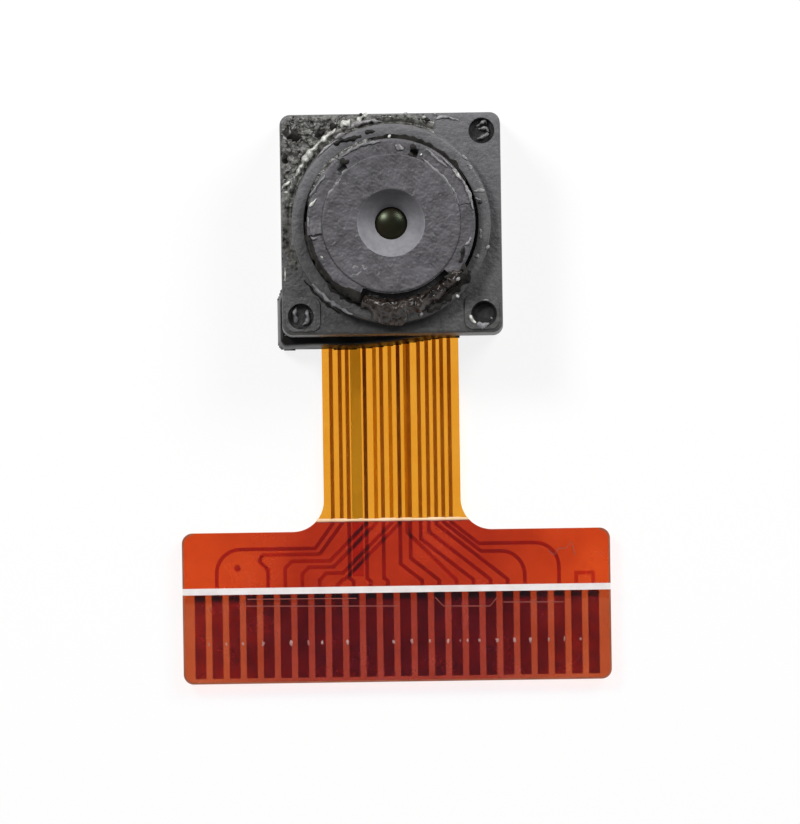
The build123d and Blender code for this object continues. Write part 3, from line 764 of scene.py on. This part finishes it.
def rim_smear_height(x, y):
    """Grainy adhesive smeared over the rim and the gap at the upper left."""
    radius, angle = polar(x, y)
    around = smooth_step(angle + 9 * soft_noise(2 * x, 2 * y, 3), 98, 110)
    around *= 1 - smooth_step(angle + 9 * soft_noise(2 * x, 2 * y, 6), 152, 166)
    across = smooth_step(radius, 2.22 + 0.16 * soft_noise(3 * x, 3 * y, 4), 2.34)
    across *= 1 - smooth_step(radius, 2.50 + 0.08 * soft_noise(3 * x, 3 * y, 5), 2.62)
    share = around * across
    grains = 0.09 * soft_noise(6 * x, 6 * y, 2) + 0.03 * soft_noise(13 * x, 13 * y, 4)
    return COLLAR_TOP - 0.12 + (0.13 + grains) * share if share > 0 else BURIED


def gap_glue_height(x, y):
    """Adhesive that fills the gap round the barrel at the lower left and, ragged, at the upper right."""
    radius, angle = polar(x, y)
    left = smooth_step(angle, 178, 192) * (1 - smooth_step(angle, 246, 250))
    right = smooth_step(angle, 28, 44) * (1 - smooth_step(angle, 96, 102))
    share = max(left, right)
    if share == 0:
        return BURIED
    end = smooth_step(angle, 224, 246) * left
    inner = BARREL_RADIUS - (0.03 + 0.07 * left + 0.17 * end + 0.05 * soft_noise(4 * x, 4 * y, 2)) * share
    outer = COLLAR_BORE + (0.02 + 0.05 * right + 0.09 * soft_noise(5 * x, 5 * y, 7)) * share
    across = smooth_step(radius, inner - 0.02, inner + 0.01)
    across *= 1 - smooth_step(radius, outer - 0.03, outer + 0.02)
    rise = (BARREL_TOP - 0.01 - COLLAR_TOP) * left * smooth_step(outer - radius, 0.0, 0.12)
    return BURIED + (0.42 + rise) * across


def rim_glue_height(x, y):
    """Adhesive in the sunken stretch of rim: a thin skin at its inner side, lumps over the gap, and a ragged
    foot on the collar."""
    radius, angle = polar(x, y)
    ragged = 4 * soft_noise(2 * radius, angle / 40, 8)
    ends = smooth_step(angle + ragged, 246, 250) * (1 - smooth_step(angle + ragged, 324, 332))
    ends *= 1 - smooth_step(angle + ragged, 309, 314) * (1 - smooth_step(radius, 2.14, 2.22))
    low_spread = 0.20 * smooth_step(angle, 246, 262) * (1 - smooth_step(angle, 274, 296))
    reach = COLLAR_BORE + 0.18 + low_spread + 0.22 * soft_noise(2.3 * x, 2.3 * y, 4)
    slope = smooth_step(radius, BARREL_RADIUS, reach)
    if ends == 0 or slope == 1 or radius < GATE_LEDGE_RADIUS + 0.15:
        return BURIED
    inner = smooth_step(radius, GATE_LEDGE_RADIUS + 0.16, GATE_LEDGE_RADIUS + 0.26)
    skin_top = BARREL_TOP - 0.285 + 0.17 * smooth_step(angle, 308, 316)
    lumps = 0.09 * ridges(2.9 * x, 2.9 * y, 1) ** 2 + 0.06 * soft_noise(6 * x, 6 * y, 9)
    top = skin_top + (0.08 + lumps) * inner - (skin_top - COLLAR_TOP + 0.12) * slope
    return BURIED + (top - BURIED) * ends


def base_glue_height(x, y):
    """The lip of adhesive round the foot of the head, full at the left and thinning towards the right."""
    half = HEAD_WIDTH / 2
    flex_top = bond_low.z
    if abs(x) < half - 0.06 and y > -half + 0.06:
        return flex_top - 0.1
    low_edge = half + 0.33 - 0.28 * smooth_step(x, -1.1, 1.9) + 0.03 * soft_noise(1.1 * x, 3)
    left_edge = half + 0.13 * smooth_step(-y, half - 1.5, half - 1.0)
    left_room, low_room = left_edge + x, low_edge + y
    if left_room < 0.25 and low_room < 0.25:
        left_room = low_room = 0.25 - math.hypot(0.25 - left_room, 0.25 - low_room)
    fade = min(smooth_step(low_room, 0, 0.16), smooth_step(left_room, 0, 0.12))
    ends = (1 - smooth_step(x, 1.7, 1.95)) * (1 - smooth_step(y, -half + 1.2, -half + 1.45))
    if fade * ends == 0:
        return flex_top - 0.1
    return flex_top + (0.60 + 0.05 * soft_noise(2 * x, 2 * y, 6)) * fade ** 0.5 * ends


# Contact tail

tail_low, tail_high = span("tail_stiffener")
bead_end = span("tail_adhesive")[1]
TAIL_TOP = tail_high.z
BEAD_HALF_WIDTH = (bead_end.y - tail_high.y) / 2 + 0.01
BEAD_MIDDLE_Y = tail_high.y + BEAD_HALF_WIDTH - 0.01
SHOULDER_Y = -8.89
TAIL_CORNER = 0.30
CUT_EDGE_WIDTH = 0.05
CUT_EDGE_INSET = CUT_EDGE_WIDTH / 2 + 0.002
FAINT_LINE_WIDTH = 0.028
RIBBON_THICKNESS = 0.003


def bead_height(x, y):
    """A low round bead of the adhesive that was pressed out along the stiffener's edge."""
    across = (y - BEAD_MIDDLE_Y) / (BEAD_HALF_WIDTH * (1 + 0.3 * soft_noise(2.1 * x, 4)))
    return bead_end.z + 0.035 * math.sqrt(max(0, 1 - across ** 2)) - 0.002


def ribbon(name, places, width, finish):
    """A thin strip on the stiffener along a line of places, square at its ends."""
    skin = Skin()
    bottom = TAIL_TOP - 0.001
    rings = []
    for i, (x, y) in enumerate(places):
        way = heading(places, i) * width / 2
        a, b = (x - way.y, y + way.x), (x + way.y, y - way.x)
        rings.append(skin.loop([a, b], bottom) + skin.loop([b, a], bottom + RIBBON_THICKNESS))
    skin.tube(rings)
    add_piece(name, skin.points, skin.faces, "stiffener_film", finish=finish)


def tail_outline():
    """The free edge of the tail, from its left shoulder round the foot to its right one."""
    places = []
    middle = (tail_low.x + tail_high.x) / 2
    half = (tail_high.x - tail_low.x) / 2 - TAIL_CORNER - CUT_EDGE_INSET
    shoulder = SHOULDER_Y - TAIL_CORNER - CUT_EDGE_INSET
    foot = tail_low.y + TAIL_CORNER + CUT_EDGE_INSET
    for x, y, start in ((-half, shoulder, 90), (-half, foot, 180), (half, foot, 270), (half, shoulder, 0)):
        for i in range(9):
            t = math.radians(start + 11.25 * i)
            places.append((middle + x + TAIL_CORNER * math.cos(t), y + TAIL_CORNER * math.sin(t)))
    return places


FAINT_LINES = (
    ((-4.43, -10.86), (-4.41, -11.03), (0.04, -11.09)),
    ((-4.36, -10.83), (-1.17, -10.85)),
    ((1.12, -10.85), (1.36, -11.11), (2.72, -11.13), (2.92, -10.89)),
    ((3.11, -11.02), (4.87, -11.04)),
    ((4.45, -9.53), (4.62, -9.67), (4.74, -9.48), (4.94, -9.48), (5.13, -9.29), (5.23, -9.68)),
)
SCUFF_Y = -12.13
SCUFFS = (
    (-5.5, 0.6), (-5.0, 0.7), (-4.5, 0.7), (-3.92, 1.0), (-3.1, 1.0), (-2.6, 0.8), (-2.2, 0.8), (-1.45, 1.0),
    (-0.1, 0.9), (0.42, 0.9), (0.95, 0.8), (1.48, 0.9), (1.84, 0.6), (2.05, 0.7), (2.4, 0.8), (2.92, 1.1),
    (3.42, 1.0), (3.88, 1.2), (4.42, 0.7), (4.88, 0.8), (5.35, 0.7),
)


def make_scuffs():
    """A row of small rub marks across the stiffener, each a ragged oval of its own size."""
    for number, (x, size) in enumerate(SCUFFS):
        skin = Skin()
        rings = []
        for share, rise in ((1.0, -0.001), (0.8, 0.0015), (0.3, 0.003)):
            outline = []
            for c, s in circle(1, 20):
                reach = share * size * (1 + 0.9 * soft_noise(1.9 * c, 1.9 * s, 3.7 * number))
                outline.append((x + 0.040 * reach * c, SCUFF_Y + 0.070 * reach * s))
            rings.append(skin.loop(outline, TAIL_TOP + rise))
        skin.tube(rings)
        add_piece(f"scuff_{number + 1}", skin.points, skin.faces, "stiffener_film", finish=PALE_SCUFF)


# Wear on the head, and painted highlights

FACE_SKIN = BARREL_TOP - 0.014
RIDGE_STEP = 0.03
RIDGE_SECTION = ((-1, -0.2), (-1, 0.5), (-0.7, 0.85), (-0.1, 1.0), (0.6, 0.85), (1, 0.5), (1, -0.2))

# Strokes, each with its kind, width, rise and the places that it joins. A level is for the strokes below it.
# White strokes are painted highlights on edges, on the bead outside the collar and on specks. Pale and dull
# ones are rubs and mould marks, with painted highlights along edges. Dark ones are crumbs of adhesive and a
# line of painted shade.
WEAR_AND_PAINTED_LIGHT = (
    FACE,
    # The first strokes paint the highlight on the bead outside the collar at the upper left.
    ("white", 0.15, 0.30, (-2.78, 1.29), (-2.64, 1.54), (-2.41, 1.93), (-2.12, 2.25), (-1.87, 2.47),
     (-1.54, 2.75)),
    ("white", 0.20, 0.25, (-1.39, 2.76), (-1.28, 2.89), (-1.14, 3.01)),
    ("white", 0.15, 0.17, (-0.99, 2.96), (-0.81, 3.08), (-0.65, 3.19)),
    ("pale", 0.15, 0.21, (-1.29, 2.74), (-1.00, 2.88), (-0.64, 2.95), (-0.20, 2.94)),
    ("white", 0.09, 0.13, (-3.11, 1.08), (-2.93, 1.23), (-2.78, 1.28)),
    ("white", 0.09, 0.13, (-3.06, 0.94), (-2.90, 0.97)),
    ("pale", 0.09, 0.13, (-3.03, 1.52), (-2.89, 1.58)),
    ("pale", 0.09, 0.13, (-3.05, 2.56), (-2.98, 2.41)),
    ("pale", 0.09, 0.13, (-2.66, 2.05), (-2.52, 2.01)),
    ("white", 0.09, 0.13, (-2.08, 2.67), (-1.97, 2.58)),
    ("pale", 0.09, 0.11, (-2.15, 2.94), (-2.13, 2.73)),
    ("pale", 0.07, 0.11, (-2.47, 2.95), (-2.31, 2.78)),
    ("dark", 0.14, 0.15, (-2.15, 2.47), (-2.04, 2.62), (-1.79, 2.72)),
    ("dark", 0.14, 0.15, (-1.72, 2.76), (-1.54, 2.90)),
    ("dark", 0.14, 0.15, (-3.03, 1.77), (-3.06, 2.09)),
    ("dark", 0.12, 0.15, (-2.60, 1.87), (-2.45, 2.01)),
    ("dark", 0.12, 0.15, (-0.85, 3.12), (-0.78, 3.17)),
    ("white", 0.14, 0.19, (0.95, 3.02), (1.04, 3.05)),
    ("white", 0.09, 0.13, (1.29, 3.14), (1.33, 3.15)),
    ("pale", 0.10, 0.15, (0.52, 3.03), (0.68, 3.04)),
    ("pale", 0.09, 0.11, (0.41, 3.16), (0.52, 3.17)),
    ("dark", 0.12, 0.15, (0.79, 3.00), (0.90, 3.00)),
    ("dark", 0.12, 0.15, (0.98, 2.93), (1.16, 2.96)),
    ("pale", 0.08, 0.06, (1.31, 2.98), (1.49, 3.04), (1.71, 3.04), (1.99, 2.95)),
    ("pale", 0.07, 0.11, (-0.13, 3.00), (0.12, 3.01), (0.41, 2.98)),
    COLLAR_TOP,
    ("white", 0.12, 0.05, (-0.05, 2.51), (0.02, 2.48)),
    ("pale", 0.09, 0.04, (-1.57, 2.45), (-1.29, 2.60)),
    ("pale", 0.07, 0.03, (-2.09, 1.92), (-1.79, 2.24), (-1.50, 2.41)),
    ("dark", 0.14, 0.04, (-1.61, 2.27), (-1.43, 2.37), (-1.07, 2.44), (-0.82, 2.54)),
    ("dark", 0.12, 0.03, (-0.71, 2.63), (-0.42, 2.66)),
    ("pale", 0.09, 0.03, (2.08, 1.93), (2.22, 1.78)),
    ("pale", 0.10, 0.03, (2.18, 1.67), (2.36, 1.53)),
    ("pale", 0.09, 0.03, (2.39, 0.88), (2.57, 0.91), (2.71, 0.88)),
    ("pale", 0.09, 0.03, (2.42, 0.70), (2.60, 0.64)),
    ("dark", 0.09, 0.03, (2.51, 0.56), (2.62, 0.54)),
    ("pale", 0.07, 0.03, (2.55, -0.20), (2.57, -0.49)),
    ("pale", 0.09, 0.04, (2.43, -0.95), (2.50, -1.04)),
    ("pale", 0.07, 0.03, (2.72, -0.78), (2.80, -0.67)),
    ("white", 0.10, 0.05, (1.84, -2.09), (1.91, -2.17)),
    ("pale", 0.12, 0.06, (1.18, -2.23), (1.26, -2.26)),
    ("pale", 0.10, 0.06, (0.76, -2.58), (0.86, -2.67)),
    ("pale", 0.10, 0.05, (0.37, -2.25), (0.65, -2.31)),
    ("dark", 0.17, 0.06, (1.01, -2.58), (1.30, -2.41), (1.52, -2.23)),
    RIM_TOP,
    ("white", 0.08, 0.05, (1.80, 1.52), (1.91, 1.38), (2.03, 1.19)),
    ("pale", 0.09, 0.05, (2.14, 1.05), (2.26, 0.80), (2.34, 0.51)),
    ("white", 0.08, 0.05, (0.88, 1.96), (0.91, 1.92)),
    ("pale", 0.12, 0.04, (0.15, 2.21), (0.40, 2.13)),
    ("dark", 0.16, 0.03, (0.58, 2.18), (0.74, 2.13)),
    ("dark", 0.14, 0.03, (0.54, 1.99), (0.66, 1.89)),
    ("dull", 0.10, 0.055, (0.93, 1.86), (1.28, 1.49), (1.64, 1.16), (1.85, 0.84), (1.95, 0.51)),
    ("dull", 0.08, 0.03, (1.04, 2.11), (1.36, 1.81), (1.64, 1.56)),
    ("dark", 0.16, 0.03, (-1.44, 1.82), (-1.19, 1.73)),
    ("white", 0.08, 0.05, (-2.33, 0.49), (-2.24, 0.61), (-2.13, 0.72)),
    ("dull", 0.08, 0.05, (-2.31, 0.79), (-2.13, 1.08), (-1.87, 1.40)),
    ("dull", 0.09, 0.055, (-1.88, 0.61), (-1.74, 0.89), (-1.45, 1.25), (-1.26, 1.57)),
    ("dull", 0.08, 0.05, (-1.36, 1.93), (-1.07, 2.14), (-0.71, 2.27), (-0.25, 2.34)),
    ("white", 0.09, 0.04, (-2.09, -0.93), (-2.02, -0.96), (-1.92, -0.98)),
    ("dark", 0.06, 0.03, (-2.16, -0.80), (-1.94, -0.81)),
    ("pale", 0.06, 0.03, (-2.29, -0.39), (-2.22, -0.44), (-2.13, -0.39)),
    FACE_SKIN,
    ("dull", 0.06, 0.012, (-1.12, -1.30), (-1.05, -1.22), (-0.96, -1.29)),
    ("dull", 0.06, 0.012, (-0.85, -1.20), (-0.78, -1.33), (-0.71, -1.28)),
    ("dull", 0.06, 0.012, (-1.14, -1.47), (-1.00, -1.49), (-0.86, -1.38)),
    RIM_TOP,
    ("dark", 0.12, 0.03, (2.06, -0.71), (2.02, -0.96), (1.96, -1.17)),
    ("pale", 0.08, 0.04, (2.29, -0.44), (2.20, -0.62), (2.11, -0.67)),
    ("pale", 0.08, 0.04, (1.95, -1.60), (1.84, -1.69)),
    ("dark", 0.14, 0.03, (2.07, -1.21), (2.10, -1.46), (1.95, -1.67)),
    FACE,
    ("white", 0.10, 0.10, (2.22, -2.66), (2.30, -2.79), (2.40, -2.92)),
    ("pale", 0.08, 0.09, (2.83, -2.73), (2.86, -2.80)),
    ("pale", 0.05, 0.07, (2.53, -2.24), (2.81, -2.24)),
    ("white", 0.05, 0.03, (-3.08, -1.22), (-3.07, -1.44), (-3.09, -1.62)),
    MARK_FLOOR,
    ("pale", 0.10, 0.22, (2.51, 2.76), (2.64, 2.86), (2.75, 2.91), (2.79, 2.83)),
    ("pale", 0.10, 0.22, (2.55, 2.69), (2.69, 2.72), (2.77, 2.70), (2.86, 2.60)),
    ("pale", 0.10, 0.22, (2.51, 2.41), (2.63, 2.45), (2.74, 2.52), (2.83, 2.59)),
    ("dull", 0.13, 0.22, (-2.78, -2.34), (-2.81, -2.59), (-2.77, -2.84)),
    ("dull", 0.13, 0.22, (-2.47, -2.45), (-2.44, -2.67), (-2.49, -2.83), (-2.59, -2.90)),
    FACE,
    ("dull", 0.14, 0.08, (2.42, -2.93), (2.58, -2.98), (2.78, -2.90)),
    ("dark", 0.34, 0.12, (-3.00, 2.80), (-2.80, 2.62), (-2.55, 2.45)),
    ("dull", 0.07, 0.14, (-2.88, 2.84), (-2.86, 2.50)),
    RIM_TOP,
    ("pale", 0.06, 0.05, (1.46, 1.87), (1.80, 1.54), (2.12, 1.08), (2.30, 0.62), (2.36, 0.34)),
    ("dull", 0.08, 0.04, (-2.38, 0.20), (-2.36, -0.10)),
    ("dark", 0.20, 0.04, (1.50, -1.55), (1.66, -1.58), (1.86, -1.44)),
    COLLAR_TOP,
    ("dull", 0.10, 0.03, (-2.30, -1.72), (-1.80, -2.22), (-1.15, -2.62)),
    ("dark", 0.15, 0.025, (-1.87, -1.69), (-1.59, -1.96), (-1.26, -2.18), (-0.86, -2.37)),
    ("dark", 0.24, 0.03, (1.25, -2.35), (1.64, -2.10), (1.98, -1.78), (2.26, -1.41)),
    FACE,
    # Painted shade along the foot of the collar at the lower left.
    ("dark", 0.07, 0.03, (-2.53, -1.58), (-2.21, -1.99), (-1.83, -2.35), (-1.49, -2.58)),
)


def add_ridge(skin, places, width, level, rise, seed):
    """A ragged low ridge along a line of places, tapered to its ends."""
    line = []
    for (ax, ay), (bx, by) in zip(places, places[1:]):
        steps = max(2, round(math.hypot(bx - ax, by - ay) / RIDGE_STEP))
        line += [(ax + (bx - ax) * i / steps, ay + (by - ay) * i / steps) for i in range(steps)]
    line.append(places[-1])
    rings = []
    for i, (x, y) in enumerate(line):
        way = heading(line, i)
        share = math.sin(math.pi * (i + 0.5) / len(line)) ** 0.4
        half = 0.5 * width * share * (1 + soft_noise(0.23 * i, seed))
        drift = 0.4 * width * soft_noise(0.17 * i, seed, 3)
        height = rise * share * (1 + 0.3 * soft_noise(0.3 * i, seed, 6))
        ring = []
        for across, up in RIDGE_SECTION:
            side = drift + half * across
            ring.append((x - side * way.y, y + side * way.x, min(level + height * up, BARREL_TOP)))
        rings.append(skin.ring(ring))
    skin.tube(rings)


def make_wear_and_painted_light():
    """Rubs, painted highlights on edges and crests, crumbs of adhesive and a painted shade line on the head,
    as one piece for each kind.
    """
    strokes = []
    for entry in WEAR_AND_PAINTED_LIGHT:
        if isinstance(entry, tuple):
            strokes.append((level, *entry))
        else:
            level = entry
    for kind, finish in WEAR_AND_PAINTED_LIGHT_FINISHES.items():
        skin = Skin()
        for number, (level, stroke_kind, width, rise, *places) in enumerate(strokes):
            if stroke_kind == kind:
                add_ridge(skin, places, width, level, rise, 1.7 * number + 0.3)
        add_piece(f"{kind}_head_strokes", skin.points, skin.faces, "black_resin", sharp=80, finish=finish)


make_holder()
make_barrel()
make_front_lens()
make_wear_and_painted_light()
relief("collar_adhesive", (-3.2, 1.3), (-1.6, 3.2), 0.022, collar_glue_height, FACE - 0.03, CRACKLED_RESIN,
       "collar_glue")
relief("rim_adhesive", (-1.4, 2.0), (-2.95, -1.4), 0.02, rim_glue_height, COLLAR_TOP - 0.39, BROWN_RESIN,
       "rim_glue")
relief("gap_adhesive", (-2.6, 2.4), (-2.6, 2.6), 0.02, gap_glue_height, COLLAR_TOP - 0.38, GAP_RESIN)
relief("rim_smear", (-2.6, 0.1), (0.5, 2.7), 0.022, rim_smear_height, COLLAR_TOP - 0.14, CRACKLED_RESIN)
relief("base_adhesive", (-3.42, 2.0), (-3.62, -1.7), 0.03, base_glue_height, bond_low.z, LIP_RESIN,
       "base_glue")
relief("squeezed_adhesive", (-2.30, 2.12), (BEAD_MIDDLE_Y - 0.06, BEAD_MIDDLE_Y + 0.06), 0.015, bead_height,
       bead_end.z - 0.002, BEAD_FINISH, slot="bond_sheet")
make_scuffs()
ribbon("cut_edge", tail_outline(), CUT_EDGE_WIDTH, CUT_EDGE)
for number, places in enumerate(FAINT_LINES):
    ribbon(f"faint_line_{number + 1}", places, FAINT_LINE_WIDTH, FAINT_LINE)


# Stage

FLOOR_FLAT_RADIUS = 0.6
FLOOR_RIM_WIDTH = 0.8
FLOOR_RIM_HEIGHT = 0.5
LAMP_DISTANCE = 0.20


def floor_material():
    """A floor that the camera and shiny or clear surfaces see as plain white, with a faint shadow."""
    material, tree, shader = new_material("white floor")
    shader.inputs["Base Color"].default_value = (0.86, 0.86, 0.86, 1)
    shader.inputs["Roughness"].default_value = 0.9
    seen = made(tree, "Math", "Value",
                {0: ray_kind(tree, "Is Camera Ray"), 1: ray_kind(tree, "Is Glossy Ray")}, operation="MAXIMUM")
    share = made(tree, "Math", "Value", {0: seen, 1: 0.8}, operation="MULTIPLY")
    either = made(tree, "Math", "Value", {0: share, 1: ray_kind(tree, "Is Transmission Ray")},
                  operation="MAXIMUM")
    white = made(tree, "Emission", "Emission", {"Strength": 1.05})
    show(tree, either, shader.outputs["BSDF"], white)
    return material


def make_floor():
    """A round floor whose edge curves up all round as a backdrop."""
    around = 96
    radii = [0.02, 0.1] + [FLOOR_FLAT_RADIUS + FLOOR_RIM_WIDTH * i / 12 for i in range(13)]
    points = [(0, 0, 0)]
    for radius in radii:
        rise = max(0, (radius - FLOOR_FLAT_RADIUS) / FLOOR_RIM_WIDTH)
        points += [(x, y, FLOOR_RIM_HEIGHT * rise ** 2) for x, y in circle(radius, around)]
    faces = [(0, 1 + i, 1 + (i + 1) % around) for i in range(around)]
    for ring_index in range(len(radii) - 1):
        a = 1 + ring_index * around
        b = a + around
        for i in range(around):
            j = (i + 1) % around
            faces.append((a + i, b + i, b + j, a + j))
    mesh = bpy.data.meshes.new("floor")
    mesh.from_pydata(points, [], faces)
    mesh.update()
    floor = bpy.data.objects.new("floor", mesh)
    bpy.context.scene.collection.objects.link(floor)
    mesh.materials.append(floor_material())


def make_world(level):
    """Even light from all round, seen by the camera as plain white."""
    world = bpy.data.worlds.new("studio")
    bpy.context.scene.world = world
    world.use_nodes = True
    tree = world.node_tree
    tree.nodes.clear()
    tree.nodes.new("ShaderNodeOutputWorld")
    soft = made(tree, "Background", "Background", {"Color": (1, 1, 1, 1), "Strength": level})
    white = made(tree, "Background", "Background", {"Color": (1, 1, 1, 1)})
    show(tree, ray_kind(tree, "Is Camera Ray"), soft, white)


def soft_light(name, azimuth, elevation, size, level):
    """A square lamp aimed at the head. level is what it adds to a white level surface. Azimuth 90 is +Y."""
    azimuth, elevation = math.radians(azimuth), math.radians(elevation)
    away = Vector((math.cos(azimuth) * math.cos(elevation), math.sin(azimuth) * math.cos(elevation),
                   math.sin(elevation)))
    data = bpy.data.lights.new(name, "AREA")
    data.shape = "SQUARE"
    data.size = size
    data.energy = level * math.pi ** 2 * LAMP_DISTANCE ** 2 / math.sin(elevation)
    lamp = bpy.data.objects.new(name, data)
    lamp.location = away * LAMP_DISTANCE
    lamp.rotation_euler = away.to_track_quat("Z", "Y").to_euler()
    bpy.context.scene.collection.objects.link(lamp)


def make_camera():
    data = bpy.data.cameras.new("camera")
    data.sensor_width = SENSOR
    data.lens = FOCAL_PIXELS / PHOTO_HEIGHT * SENSOR
    data.clip_start = 0.001
    camera = bpy.data.objects.new("camera", data)
    camera.location = CAMERA_PLACE
    camera.rotation_euler = (0, 0, CAMERA_ROLL)
    bpy.context.scene.collection.objects.link(camera)
    bpy.context.scene.camera = camera


make_floor()
make_world(0.14)
soft_light("left lamp", 134, 50, 0.05, 0.47)
soft_light("right lamp", 45, 43, 0.08, 0.38)
make_camera()
bpy.context.scene.view_settings.view_transform = "Standard"
